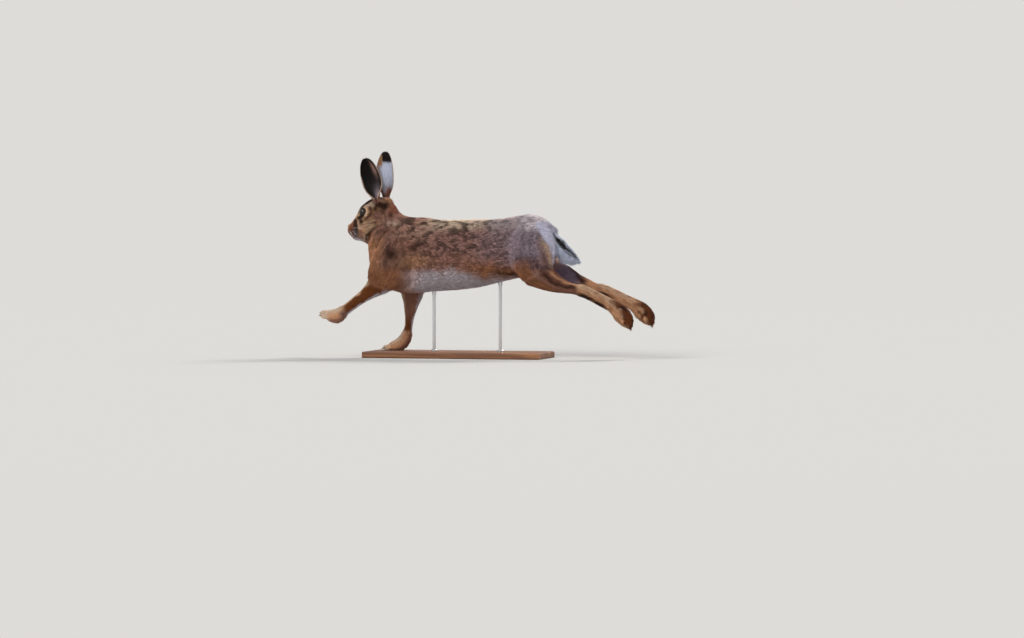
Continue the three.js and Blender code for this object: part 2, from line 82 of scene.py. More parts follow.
print("origin in the frame, mm", ORIGIN.round(2))

# %% [markdown]
# ## Camera
# A long lens from far away flattens the animal as a sports photograph does. The camera
# stands a little in front of square to the hare's left side and two degrees above it. The
# width of the picture is a real width at the hare, so the distance follows from the lens.

# %% Camera
VIEW_TURN = math.radians(15)
VIEW_TILT = math.radians(2)
PICTURE_WIDTH = 2.4576
PICTURE_MIDDLE = (178.9, 0, 79)
LENS = 200
SENSOR = 36
FARTHEST = 60


def put(name, data):
    """A new object in the scene."""
    thing = bpy.data.objects.new(name, data)
    bpy.context.scene.collection.objects.link(thing)
    return thing


camera_data = bpy.data.cameras.new("camera")
camera_data.lens = LENS
camera_data.sensor_width = SENSOR
camera_data.clip_end = FARTHEST
camera = put("camera", camera_data)
towards = Vector((
    math.sin(VIEW_TURN) * math.cos(VIEW_TILT),
    -math.cos(VIEW_TURN) * math.cos(VIEW_TILT),
    math.sin(VIEW_TILT),
))
camera.location = Vector(metres(PICTURE_MIDDLE)) + towards * (PICTURE_WIDTH * LENS / SENSOR)
camera.rotation_mode = "QUATERNION"
camera.rotation_quaternion = (-towards).to_track_quat("-Z", "Y")
bpy.context.scene.camera = camera
print("camera height", round(camera.location.z, 3), "m")

# %% [markdown]
# ## Studio light
# Soft light shows the form of fur best. A broad key light from above and in front models
# the body, and a second one from behind draws the bright rim along the nape and back. They
# are suns with very wide discs, so their light is as even on the floor as on the animal.

# %% Studio light
AIR_COLOUR = (0.92, 0.95, 1.0)
AIR_LIGHT = 0.58


def broad_light(name, way_from, disc, power, colour):
    lamp = bpy.data.lights.new(name, "SUN")
    lamp.angle = math.radians(disc)
    lamp.energy = power
    lamp.color = colour
    light = put(name, lamp)
    light.rotation_mode = "QUATERNION"
    light.rotation_quaternion = (-Vector(way_from)).to_track_quat("-Z", "Y")


def fill(node, sockets):
    """Sets a node's sockets, given by name."""
    for name, value in sockets.items():
        node.inputs[name].default_value = value


broad_light("key_light", (-0.55, -1.0, 0.95), disc=34, power=2.5, colour=(1.0, 0.97, 0.93))
broad_light("rim_light", (0.75, 1.0, 1.15), disc=20, power=2.7, colour=(1.0, 0.96, 0.9))
world = bpy.data.worlds.new("studio_air")
bpy.context.scene.world = world
world.use_nodes = True
fill(world.node_tree.nodes["Background"], {"Color": (*AIR_COLOUR, 1), "Strength": AIR_LIGHT})
bpy.context.scene.view_settings.view_transform = "Standard"
print("lights ready")

# %% [markdown]
# ## Materials from nodes
# A material is a tree of nodes, and its main shader is there from the start. Other nodes
# are added to it, and links join an output of one node to an input of the next. These
# helpers keep that short, so that each material below reads as a list of what is in it.


# %% Materials from nodes
def material(name, sockets):
    """A new material, its node tree and its main shader with the given values."""
    made = bpy.data.materials.new(name)
    made.use_nodes = True
    shader = made.node_tree.nodes["Principled BSDF"]
    fill(shader, sockets)
    return made, made.node_tree, shader


def add_node(tree, kind, sockets=None, **settings):
    """A new node with its settings and the values of its sockets."""
    node = tree.nodes.new("ShaderNode" + kind)
    for name, value in settings.items():
        setattr(node, name, value)
    fill(node, sockets or {})
    return node


def wire(tree, *links):
    """Links nodes. Each link is a node, its output, the next node and its input."""
    for source, output, target, entry in links:
        tree.links.new(source.outputs[output], target.inputs[entry])


print("material helpers ready")

# %% [markdown]
# ## Floor
# The pale floor is a wide round tray whose rim bends up far away, so no line crosses the
# view and nothing stands in the way of a look from another side. A flat disc would be
# simpler, but its edge would draw a horizon. Near the animal the paper is lit and takes
# its shadow. Far away it glows as bright as its lit middle, so the bend can't be seen.

# %% Floor
FLOOR_RADIUS = 15.0
RIM_BEND = 3.0
RIM_TOP = 4.0
RIM_STEPS = 16
FLOOR_TURNS = 96
PAPER = (0.45, 0.447, 0.437)
PAPER_GLOW = (0.73, 0.717, 0.69)
PAPER_ROUGHNESS = 0.9
LIT_TO, GLOW_FROM = 1.5, 7.0

profile = [
    (FLOOR_RADIUS + RIM_BEND * math.sin(angle), RIM_BEND * (1 - math.cos(angle)))
    for angle in np.linspace(0, math.pi / 2, RIM_STEPS + 1)
]
profile.append((FLOOR_RADIUS + RIM_BEND, RIM_TOP))
tray = bmesh.new()
turns = np.linspace(0, 2 * math.pi, FLOOR_TURNS, endpoint=False)
rows = [
    [tray.verts.new((reach * math.cos(turn), reach * math.sin(turn), level)) for turn in turns]
    for reach, level in profile
]
tray.faces.new(rows[0])
for inner, outer in zip(rows, rows[1:]):
    for k in range(FLOOR_TURNS):
        after = (k + 1) % FLOOR_TURNS
        tray.faces.new((inner[k], outer[k], outer[after], inner[after])).smooth = True
floor_mesh = bpy.data.meshes.new("studio_sweep")
tray.to_mesh(floor_mesh)
tray.free()
studio = put("studio_sweep", floor_mesh)

paper, paper_tree, lit_paper = material("pale_paper", {
    "Base Color": (*PAPER, 1), "Roughness": PAPER_ROUGHNESS, "Specular IOR Level": 0.0,
})
glow = add_node(paper_tree, "Emission", {"Color": (*PAPER_GLOW, 1)})
floor_place = add_node(paper_tree, "TexCoord")
reach = add_node(paper_tree, "VectorMath", operation="LENGTH")
fade = add_node(
    paper_tree, "MapRange", {"From Min": LIT_TO, "From Max": GLOW_FROM},
    interpolation_type="SMOOTHSTEP",
)
blend = add_node(paper_tree, "MixShader")
wire(
    paper_tree,
    (floor_place, "Object", reach, 0), (reach, "Value", fade, "Value"),
    (fade, "Result", blend, "Fac"), (lit_paper, "BSDF", blend, 1), (glow, "Emission", blend, 2),
    (blend, "Shader", paper_tree.nodes["Material Output"], "Surface"),
)
floor_mesh.materials.append(paper)
print("floor", 2 * FLOOR_RADIUS, "m across")

# %% [markdown]
# ## Axes of the body
# Hair lies along the body and down each limb, and its streaks run the same way. A few
# points down the middle of the head, trunk, tail and each leg give that direction anywhere.
# They also give every point of the skin a distance along its axis and a height above it,
# which later place the markings, the streaks and the tufts.

# %% Axes
AXES = {
    "head": [(-232, 0, 291), (-212, 0, 299), (-185, 0, 314), (-152, 0, 316), (-130, 0, 312)],
    "trunk": [
        (-160, 0, 332), (-145, 0, 292), (-125, 0, 247), (-86, 0, 232), (-3, 0, 230),
        (100, 0, 236), (187, 0, 250), (243, 0, 257), (295, 0, 266),
    ],
    "tail": [
        (262, 0, 284), (281, 0, 270), (299, 0, 252), (318, 0, 236), (338, 0, 223), (356, 0, 217),
    ],
    "foreleg_left": [
        (-93, -14, 303), (-104, -32, 244), (-126, -39, 178), (-141, -39, 156), (-166, -37, 140),
        (-209, -35, 112), (-244, -33, 85), (-272, -32, 83), (-284, -32, 84),
    ],
    "foreleg_right": [
        (-87, 14, 303), (-96, 32, 241), (-87, 39, 171), (-82, 36, 118), (-87, 33, 68),
        (-91, 33, 45), (-99, 33, 24), (-112, 33, 13), (-127, 33, 9), (-146, 33, 5),
    ],
    "hind_leg_left": [
        (240, -10, 317), (236, -32, 262), (246, -41, 203), (270, -42, 178), (308, -37, 160),
        (350, -34, 151), (369, -33, 146), (415, -32, 123), (450, -32, 100), (474, -32, 74),
        (478, -32, 62),
    ],
}
# The right hind leg has the left one's joints, but reaches farther back and lifts its toes
HIND_REACH = (0, 0, 3, 14, 29, 34, 36, 37, 37, 37, 37)
HIND_LIFT = (0, 0, 7, 9, 7, 2, 1, 3, 5, 6, 6)
AXES["hind_leg_right"] = [
    (x + reach, -y, z + lift)
    for (x, y, z), reach, lift in zip(AXES["hind_leg_left"], HIND_REACH, HIND_LIFT)
]

TINY = 1e-9


def axis_name(node):
    """The axis that a CAD node's hair follows."""
    part, _, side = node.rpartition("_")
    if part in ("upper_arm", "forearm", "fore_paw"):
        return "foreleg_" + side
    if part in ("thigh", "shin", "hind_foot"):
        return "hind_leg_" + side
    if node in ("head", "tail"):
        return node
    return "trunk"


def unit(vectors):
    return vectors / np.maximum(np.linalg.norm(vectors, axis=-1, keepdims=True), TINY)


def along(axis, points):
    """Per point: distance along the axis, height above it, distance to its side, direction."""
    line = np.array(AXES[axis], float)
    span = np.diff(line, axis=0)
    length = np.linalg.norm(span, axis=1)
    start = np.concatenate([[0], np.cumsum(length)])
    part = np.einsum("pkc,kc->pk", points[:, None] - line[:-1], span) / length**2
    part = part.clip(0, 1)
    nearest = line[:-1] + part[..., None] * span
    best = np.linalg.norm(points[:, None] - nearest, axis=2).argmin(1)
    row = np.arange(len(points))
    share = part[row, best]
    ways = unit(span)
    corner_ways = unit(np.vstack([ways[:1], ways[:-1] + ways[1:], ways[-1:]]))
    way = corner_ways[best] * (1 - share[:, None]) + corner_ways[best + 1] * share[:, None]
    way = unit(way)
    rise = unit(np.cross(way, (0, 1, 0)))
    off = points - nearest[row, best]
    return start[best] + share * length[best], (off * rise).sum(1), off[:, 1], way


for name, line in AXES.items():
    print(name, "axis", round(sum(math.dist(a, b) for a, b in zip(line, line[1:]))), "mm")

# %% [markdown]
# ## Soft noise
# Markings and tufts vary in soft patches, not from point to point. Blender's noise nodes do
# that in a material, but the tufts need the same patches while they are made, so here is a
# small noise for arrays: random numbers on a grid, blended smoothly between its corners.


# %% Soft noise
NOISE_CELLS = 32


def soft_noise(points, size, seed):
    """Numbers from 0 to 1 that change over about `size` millimetres."""
    table = np.random.default_rng(seed).random((NOISE_CELLS,) * 3)
    place = points / size
    cell = np.floor(place).astype(int)
    share = place - cell
    share = share * share * (3 - 2 * share)
    total = np.zeros(len(points))
    for corner in np.ndindex(2, 2, 2):
        weight = np.prod(np.where(corner, share, 1 - share), axis=1)
        i, j, k = ((cell + corner) % NOISE_CELLS).T
        total += weight * table[i, j, k]
    return total


def ramp(low, high, value):
    """0 below low, 1 above high and a smooth step between. It falls where low is above high."""
    share = ((value - low) / (high - low)).clip(0, 1)
    return share * share * (3 - 2 * share)


def spot(points, middle, radii):
    """1 at the middle of a soft ellipsoid, falling to nearly 0 at twice its radii."""
    away = (points - np.array(middle, float)) / np.array(radii, float)
    return np.exp(-(away**2).sum(1))

print("ramp at a quarter", ramp(0, 1, np.array(0.25)))

# %% [markdown]
# ## Toes
# A hare's foot ends in four furry toes side by side, the outer ones set back. Each is
# placed here from the middle of its foot, along the way the toes point and the way the
# sole faces. The same measures later place the gaps between the toes, and the claws.

# %% Toes
TOE_STEPS = (-1.5, -0.5, 0.5, 1.5)
# "width" is the foot's breadth and "tilt" its slope, and "back" sets the outer toes back
# in x and z. "toe" holds half a toe's length, breadth and depth, "raise" lifts the toes off
# the sole, and "ahead" is -1 for toes that point to the front and 1 for those that trail.
FEET = {
    "fore_left": {
        "middle": (-281, -32, 84.5), "width": 20, "back": (5, 0), "tilt": 0.04, "ahead": -1,
        "toe": (11.5, 4.3, 11.5), "raise": 2.5,
    },
    "fore_right": {
        "middle": (-142, 33, 5.5), "width": 19, "back": (5, 0), "tilt": -0.12, "ahead": -1,
        "toe": (10, 3.9, 7.0), "raise": 1.8,
    },
    "hind_left": {
        "middle": (474, -32, 71), "width": 25, "back": (-5, 3), "tilt": 1.15, "ahead": 1,
        "toe": (12.5, 4.8, 10.5), "raise": -1.0,
    },
    "hind_right": {
        "middle": (511.6, 32, 77), "width": 25, "back": (-5, 3), "tilt": 1.15, "ahead": 1,
        "toe": (12.5, 4.8, 10.5), "raise": -1.0,
    },
}


def foot_ways(foot):
    """The way a foot's toes point and the way its sole faces."""
    tilt = foot["tilt"]
    way = foot["ahead"] * np.array((math.cos(tilt), 0, -math.sin(tilt)))
    sole = foot["ahead"] * np.array((math.sin(tilt), 0, math.cos(tilt)))
    return way, sole


def toe_place(foot, step):
    """Middle of the toe at a step across the foot."""
    x, y, z = foot["middle"]
    outer = max(abs(step) - TOE_STEPS[2], 0)
    back_x, back_z = foot["back"]
    place = np.array((x + back_x * outer, y + step * foot["width"] / 3, z + back_z * outer))
    return place - foot_ways(foot)[1] * foot["raise"]


print("toes", {name: toe_place(foot, 0.5).round(1).tolist() for name, foot in FEET.items()})

# %% [markdown]
# ## Skin: one closed surface
# A real hare has no seams where its legs join, so one skin takes the place of all the flesh
# solids. Copies of them are swollen by a third of a millimetre, so that they overlap, and a
# voxel remesh melts them into one surface of even small faces. The egg at each ear's root
# is added first, because the ears themselves are too thin for voxels, and so are fuller
# toes than the solids have.

# %% Melt the solids into one skin
SWELL = 0.00035
VOXEL = 0.0019
SAME_POINT = 1e-6
EGG_SPLITS = 3
EAR_ROOTS = {"left": (-153, -15, 358), "right": (-140, 15, 360)}
EAR_ROOT_SIZE = (11, 9, 12)


def add_egg(into, middle, half, turn=None):
    shape = Matrix.LocRotScale(Vector(metres(middle)), turn, Vector(half) / MM)
    bmesh.ops.create_icosphere(into, subdivisions=EGG_SPLITS, radius=1, matrix=shape)


melt = bmesh.new()
for name in FLESH:
    if name.startswith("ear_"):
        continue
    part = bmesh.new()
    part.from_mesh(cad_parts[name].data)
    bmesh.ops.remove_doubles(part, verts=part.verts, dist=SAME_POINT)
    part.normal_update()
    for vertex in part.verts:
        vertex.co += vertex.normal * SWELL
    passing = bpy.data.meshes.new("passing")
    part.to_mesh(passing)
    part.free()
    melt.from_mesh(passing)
    bpy.data.meshes.remove(passing)
for root in EAR_ROOTS.values():
    add_egg(melt, root, EAR_ROOT_SIZE)
for foot in FEET.values():
    for step in TOE_STEPS:
        add_egg(melt, toe_place(foot, step), foot["toe"], Quaternion((0, 1, 0), foot["tilt"]))
melt_mesh = bpy.data.meshes.new("melt")
melt.to_mesh(melt_mesh)
melt.free()
melted = put("melt", melt_mesh)
remesh = melted.modifiers.new("voxels", "REMESH")
remesh.mode = "VOXEL"
remesh.voxel_size = VOXEL
evaluated = melted.evaluated_get(bpy.context.evaluated_depsgraph_get())
skin_mesh = bpy.data.meshes.new_from_object(evaluated)
bpy.data.objects.remove(melted)
print("skin faces after the remesh", len(skin_mesh.polygons))

# %% [markdown]
# ## Finer faces on the head and toes
# The head gets the most care, so its faces are split once more, and so are those of the
# toes. Only these places are split: four times the faces everywhere would slow the rest.

# %% Split the finer places
# Low and high corners of each place, in millimetres
FINE_PLACES = (
    ((-300, -70, 254), (-152, 70, 420)),
    ((-310, -60, 55), (-252, 0, 115)),
    ((-170, 0, -5), (-112, 60, 36)),
    ((446, -60, 40), (505, 0, 112)),
    ((483, 0, 46), (545, 60, 118)),
)
fine = bmesh.new()
fine.from_mesh(skin_mesh)
middles = millimetres([face.calc_center_median() for face in fine.faces])
chosen = np.zeros(len(middles), bool)
for low, high in FINE_PLACES:
    chosen |= ((middles > low) & (middles < high)).all(1)
edges = {edge for face, wanted in zip(fine.faces, chosen) if wanted for edge in face.edges}
bmesh.ops.subdivide_edges(fine, edges=list(edges), cuts=1, use_grid_fill=True)
bmesh.ops.triangulate(fine, faces=[face for face in fine.faces if len(face.verts) > 4])
fine.to_mesh(skin_mesh)
fine.free()
print("skin faces", len(skin_mesh.polygons))


# %% [markdown]
# ## Reading and writing many points at once
# Python is slow point by point. Blender can hand over all the points of a mesh as one
# array, numpy changes them together, and Blender takes them back.

# %% Arrays of a mesh
def read(items, name, width, kind=np.float32):
    found = np.empty(len(items) * width, kind)
    items.foreach_get(name, found)
    return found.reshape(-1, width) if width > 1 else found


def points_of(mesh):
    return millimetres(read(mesh.vertices, "co", 3))


def set_points(mesh, points):
    mesh.vertices.foreach_set("co", metres(points).astype(np.float32).ravel())
    mesh.update()


def normals_of(mesh):
    return read(mesh.vertices, "normal", 3).astype(float)


points = points_of(skin_mesh)
skin_edges = read(skin_mesh.edges, "vertices", 2, np.int32)
print("points", len(points), "edges", len(skin_edges))

# %% [markdown]
# ## Relaxing
# To relax a value is to move each point's value towards the mean of its neighbours, round
# after round. It smooths shapes, borders and directions alike. The neighbours are listed
# once, point after point, and numpy adds up each point's stretch of that list.

# %% Relaxing
STEP = 0.5
STILL = 0.002
ends = np.vstack([skin_edges, skin_edges[:, ::-1]])
ends = ends[np.argsort(ends[:, 0], kind="stable")]
neighbour_count = np.bincount(ends[:, 0], minlength=len(points))


def relax(values, rounds, freedom=1.0):
    """Moves each point's values towards the mean of its neighbours, `rounds` times."""
    weight = np.broadcast_to(STEP * np.asarray(freedom), len(points))
    moving = weight > STILL
    rows = np.flatnonzero(moving)
    near = ends[moving[ends[:, 0]], 1]
    number = neighbour_count[rows]
    starts = np.cumsum(number) - number
    columns = []
    for column in np.array(values, float).reshape(len(points), -1).T:
        column = column.copy()
        for _ in range(rounds):
            mean = np.add.reduceat(column[near], starts) / number
            column[rows] += weight[rows] * (mean - column[rows])
        columns.append(column)
    return np.stack(columns, 1).reshape(np.shape(values))


print("neighbours", neighbour_count.min(), "to", neighbour_count.max())

# %% [markdown]
# ## Which part of the body a point belongs to
# The CAD solids stay in the file, hidden, and the nearest one names the part of the body.
# One search tree over all their faces answers that for every point of the skin.

# %% Nearest solid
node_names = [name for name in FLESH if not name.startswith("ear_")]
tree_points, tree_faces, tree_owner = [], [], []
for number, name in enumerate(node_names):
    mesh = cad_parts[name].data
    offset = len(tree_points)
    tree_points.extend(vertex.co[:] for vertex in mesh.vertices)
    tree_faces.extend([offset + i for i in face.vertices] for face in mesh.polygons)
    tree_owner.extend([number] * len(mesh.polygons))
solids = BVHTree.FromPolygons(tree_points, tree_faces)
nearest_faces = [solids.find_nearest(Vector(point))[2] for point in metres(points)]
part_of = np.array(tree_owner)[nearest_faces]
print({name: int((part_of == i).sum()) for i, name in enumerate(node_names)})

# %% [markdown]
# ## Smooth the facets away
# The solids are faceted and the voxels leave steps. Each round of relaxing moves a point
# towards its neighbours. The body takes many rounds, and the eyes, nose, mouth and toes
# only a few, or they would melt away. The seams of thigh and upper arm take the most.

# %% Smooth
EYE = (-186, 17.3, 334)
NOSE = (-227, 0, 291)
EYE_CARE = (15, 14, 14)
NOSE_CARE = (15, 16, 20)
TOE_CARE = 0.97
FIRST_ROUNDS = 3
LONG_ROUNDS = 60
SEAM_BORDER = 24
SEAM_ROUNDS = 220


def plain(node):
    return node.removesuffix("_left").removesuffix("_right")


def mirrored(points):
    return points * (1, 0, 1) + np.abs(points) * (0, 1, 0)


known_masks = {}


def belongs(names, rounds=6):
    """1 on the named parts of the skin and 0 elsewhere, with a border that rounds soften."""
    if (names, rounds) not in known_masks:
        wanted = [i for i, name in enumerate(node_names) if plain(name) in names]
        known_masks[names, rounds] = relax(np.isin(part_of, wanted), rounds)
    return known_masks[names, rounds].copy()


place = mirrored(points)
face_detail = spot(place, EYE, EYE_CARE) + spot(place, NOSE, NOSE_CARE)
toe_detail = belongs(("fore_paw", "hind_foot"), 10)
keep = np.maximum(face_detail, toe_detail * TOE_CARE).clip(0, 1)
points = relax(points, FIRST_ROUNDS)
points = relax(points, LONG_ROUNDS, (1 - keep) * (1 - 0.5 * belongs(("head",))))
for name in ("thigh", "upper_arm"):
    inside = belongs((name,), SEAM_BORDER)
    points = relax(points, SEAM_ROUNDS, (4 * inside * (1 - inside)) ** 0.5)
set_points(skin_mesh, points)
print("smoothed; box", (points.max(0) - points.min(0)).round(1))

# %% [markdown]
# ## Room for the coat
# The solids reach out to the tips of the coat. The skin lies deeper by the coat's own
# thickness, which differs from part to part, so the tufts on it bring the outline back.
# Muscles and folds that show through the coat are then raised and sunk as soft forms.

# %% Sink the skin
COAT_DEPTH = {
    "head": 1.1, "neck": 3.6, "chest": 5.0, "loin": 5.2, "rump": 5.0, "tail": 6.0,
    "upper_arm": 3.2, "forearm": 1.6, "fore_paw": 0.8, "thigh": 3.8, "shin": 1.6, "hind_foot": 0.8,
}
DEPTH_ROUNDS = 30
SETTLE_ROUNDS = 3
# The middle, radii and height of each form, for both sides of the body
BODY_FORMS = (
    ((-130, 50, 232), (15, 60, 30), 2.2),
    ((-104, 60, 240), (12, 60, 22), -3.0),
    ((-66, 60, 240), (22, 60, 34), 1.6),
    ((-20, 70, 262), (60, 60, 26), 1.2),
    ((70, 60, 190), (45, 60, 8), 2.0),
    ((150, 60, 184), (45, 60, 9), 2.0),
    ((110, 60, 212), (60, 60, 12), -2.4),
    ((226, 60, 282), (30, 60, 26), 2.4),
    ((212, 60, 222), (26, 60, 13), -2.6),
    ((270, 60, 222), (10, 60, 34), 2.4),
    ((290, 60, 196), (12, 60, 18), -2.2),
    ((234, 60, 172), (24, 60, 12), 2.4),
    ((330, 60, 168), (40, 60, 5), -1.6),
    ((-150, 24, 296), (8, 40, 26), -1.6),
    ((280, 0, 294), (12, 16, 9), 4.0),
)
TAIL_SHIFT = (-7, 0, -1)
TAIL_LENGTHWISE = (264, 316)


def raise_forms(points, forms):
    """Lifts the skin in soft areas, or sinks it where their height is below 0."""
    normals = normals_of(skin_mesh)
    for middle, radii, height in forms:
        points = points + normals * (height * spot(mirrored(points), middle, radii))[:, None]
    return points


depth = np.array([COAT_DEPTH[plain(name)] for name in node_names])[part_of]
depth = relax(depth, DEPTH_ROUNDS)
points -= normals_of(skin_mesh) * depth[:, None]
points = relax(points, SETTLE_ROUNDS, 1 - keep)
set_points(skin_mesh, points)
points = raise_forms(points, BODY_FORMS)
tail_share = belongs(("tail",), 10) * ramp(*TAIL_LENGTHWISE, points[:, 0])
points = points + tail_share[:, None] * np.array(TAIL_SHIFT, float)
set_points(skin_mesh, points)
print("mean coat depth", round(float(depth.mean()), 2), "mm")

# %% [markdown]
# ## Eye sockets, nostrils and mouth
# The lids of a hare lie close round a bulging eye. Here the skin in front of each eyeball
# sinks behind it, and the skin round it stays just outside. Fine grooves, pressed in along
# short lines, make the nostrils, the cleft of the upper lip and the line of the mouth.

# %% Sculpt the face
EYE_RADIUS = 11.0
GAZE_TURN = 0.28
LID_SLANT = 0.5
LID_HALF = (0.92, 1.18)
SOCKET_DEPTH = 2.2
LID_MARGIN = 0.45
EYE_AREA = 20
LID_EDGE = (0.82, 1.0)
LID_FADE = (1.0, 1.4)


def eye_frame(side):
    """Middle of an eye and its three directions: back along the lids, up and outwards."""
    centre = np.array((EYE[0], side * EYE[1], EYE[2]), float)
    outwards = np.array((-math.sin(GAZE_TURN), side * math.cos(GAZE_TURN), 0))
    level = np.array((math.cos(GAZE_TURN), side * math.sin(GAZE_TURN), 0))
    rise = np.array((0.0, 0.0, 1.0))
    back = level * math.cos(LID_SLANT) - rise * math.sin(LID_SLANT)
    up = rise * math.cos(LID_SLANT) + level * math.sin(LID_SLANT)
    return centre, back, up, outwards


def lid_share(points, side):
    """0 at the middle of the opening between the lids and 1 at their rim."""
    centre, back, up, outwards = eye_frame(side)
    away = unit(points - centre)
    angle = np.arccos((away @ outwards).clip(-1, 1))
    level, rise = away @ back, away @ up
    aside = np.hypot(level, rise).clip(1e-6)
    return angle * np.hypot(level / LID_HALF[0], rise / LID_HALF[1]) / aside


def stroke(points, path, width):
    """1 along a line of points, in two or three dimensions, and soft at its sides."""
    line = np.array(path, float)
    share = np.zeros(len(points))
    reach = 3 * width
    near = ((points > line.min(0) - reach) & (points < line.max(0) + reach)).all(1)
    span = np.diff(line, axis=0)
    part = np.einsum("pkc,kc->pk", points[near][:, None] - line[:-1], span) / (span**2).sum(1)
    nearest = line[:-1] + part.clip(0, 1)[..., None] * span
    away = np.linalg.norm(points[near][:, None] - nearest, axis=2).min(1)
    share[near] = np.exp(-((away / width) ** 2))
    return share


def groove(points, normals, path, width, depth):
    """Presses the surface in along a line of points."""
    return points - normals * (depth * stroke(points, path, width))[:, None]


for side in (-1, 1):
    centre = eye_frame(side)[0]
    near = np.linalg.norm(points - centre, axis=1) < EYE_AREA
    away = points[near] - centre
    reach = np.linalg.norm(away, axis=1)
    share = lid_share(points[near], side)
    inner = EYE_RADIUS - SOCKET_DEPTH + (SOCKET_DEPTH + LID_MARGIN) * ramp(*LID_EDGE, share)
    outer = np.maximum(reach, EYE_RADIUS + LID_MARGIN)
    wanted = inner + (outer - inner) * ramp(*LID_FADE, share)
    points[near] = centre + away / reach[:, None] * wanted[:, None]
set_points(skin_mesh, points)

# The muzzle and cheek swell, and a hollow runs down in front of the eye and behind the jaw
FACE_FORMS = (
    ((-221, 11, 289), (9, 9, 8), 2.2),
    ((-228, 3, 303), (6, 6, 5), 1.0),
    ((-212, 6, 272), (9, 9, 6), 1.4),
    ((-206, 13, 303), (6, 9, 12), -1.6),
    ((-184, 20, 300), (13, 12, 13), 1.8),
    ((-203, 18, 286), (4, 8, 10), -1.3),
    ((-166, 22, 283), (6, 14, 13), -1.7),
    ((-176, 15, 349), (9, 8, 5), 1.6),
    ((-170, 20, 333), (5, 9, 8), -1.0),
    ((-190, 19, 319), (9, 8, 3), -0.9),
)
points = raise_forms(points, FACE_FORMS)
set_points(skin_mesh, points)

# Each groove has its line, given on the right side, its width and its depth
LIPS = ((-208, 14.6, 273), (-214, 14, 276), (-222, 12, 280.6), (-226, 8, 282), (-229, 0, 283))
NOSTRIL = ((-232.5, 2, 296), (-231, 4.6, 299.5), (-228, 6.2, 301.5))
FACE_GROOVES = ((LIPS, 1.3, 1.9), (NOSTRIL, 1.1, 2.2))
LIP_CLEFT = (((-233, 0, 296), (-231.5, 0, 284)), 1.0, 1.6)
normals = normals_of(skin_mesh)
for side in (-1, 1):
    for path, width, depth in FACE_GROOVES:
        points = groove(points, normals, np.array(path) * (1, side, 1), width, depth)
points = groove(points, normals, *LIP_CLEFT)

# The rear edge of the cheek stands out over a fold, seen from the side as x and z
JAW_EDGE = ((-188, 266), (-184, 281), (-174, 290.5), (-161.5, 301), (-147, 309))
JAW_FOLD = ((-184, 262), (-178.5, 277), (-169, 286), (-156, 296), (-140, 305))
NECK_FOLD = ((-149, 250), (-142, 274), (-132, 286), (-119, 296))
SIDE_FOLDS = ((JAW_EDGE, 4.5, 1.5), (JAW_FOLD, 3.4, -1.9), (NECK_FOLD, 6, -1.8))
CHEEK_FROM = (6, 14)
beside = ramp(*CHEEK_FROM, np.abs(points[:, 1]))
for path, width, height in SIDE_FOLDS:
    share = beside * stroke(points[:, [0, 2]], path, width)
    points = points + normals * (height * share)[:, None]
set_points(skin_mesh, points)
print("face pressed in")

# %% [markdown]
# ## Gaps between the toes
# Each gap runs over the top of the foot, round its end and back under the sole, so it is
# one more groove along a bent line. The outer toe of the left hind foot is drawn up a
# little, as it is in this stride.

# %% Part the toes
TOE_GAP = (1.7, 2.6)
# Points of the line round a toe, in half lengths along it and half depths towards the sole
GAP_LINE = (
    (-1.1, -1.0), (0.2, -1.0), (0.85, -0.6), (1.05, 0.0), (0.85, 0.6), (0.2, 1.0), (-0.6, 1.0),
)
DRAWN_UP = ((470, -46, 62), (9, 7, 11), (-4, 0, 7))
normals = normals_of(skin_mesh)
for foot in FEET.values():
    way, sole = foot_ways(foot)
    length, _, thickness = foot["toe"]
    for step in (-1, 0, 1):
        middle = toe_place(foot, step)
        path = [middle + way * length * a + sole * thickness * b for a, b in GAP_LINE]
        points = groove(points, normals, path, *TOE_GAP)
middle, radii, shift = DRAWN_UP
points = points + spot(points, middle, radii)[:, None] * np.array(shift, float)
set_points(skin_mesh, points)
print("toes parted")

# %% [markdown]
# ## Ears
# An ear is a leaf rolled into a tube at its root and open above. Each point of the leaf is
# placed by its share of the length and its angle round the roll. A real ear is about a
# millimetre and a half thick, with a rolled rim, and it joins the same skin object.

# %% Ear leaves
EARS = {
    "left": {
        "root": (-153, -14, 356), "tip": (-182, -22, 463), "facing": (0.1, -1, 0.05), "spread": 27.4,
    },
    "right": {
        "root": (-140, 14, 358), "tip": (-143, 20, 479), "facing": (0, 1, 0.05), "spread": 24.9,
    },
}
EAR_ROWS = 72
EAR_COLUMNS = 40
EAR_THICKNESS = 1.6
EAR_BEND = 7.0
EAR_HOLLOW = 0.6
ROOT_CURL, TIP_CURL = 2.9, 0.85
ROLLED_PART = 0.24
RIPPLE = 0.5
RIM_THINNING = 0.55
TIP_THINNING = 0.4


def leaf_breadth(share):
    """The leaf's outline: it widens fast above the root and rounds off at the tip."""
    return np.sqrt(np.sin(math.pi * (0.12 + 0.87 * share**1.15)))


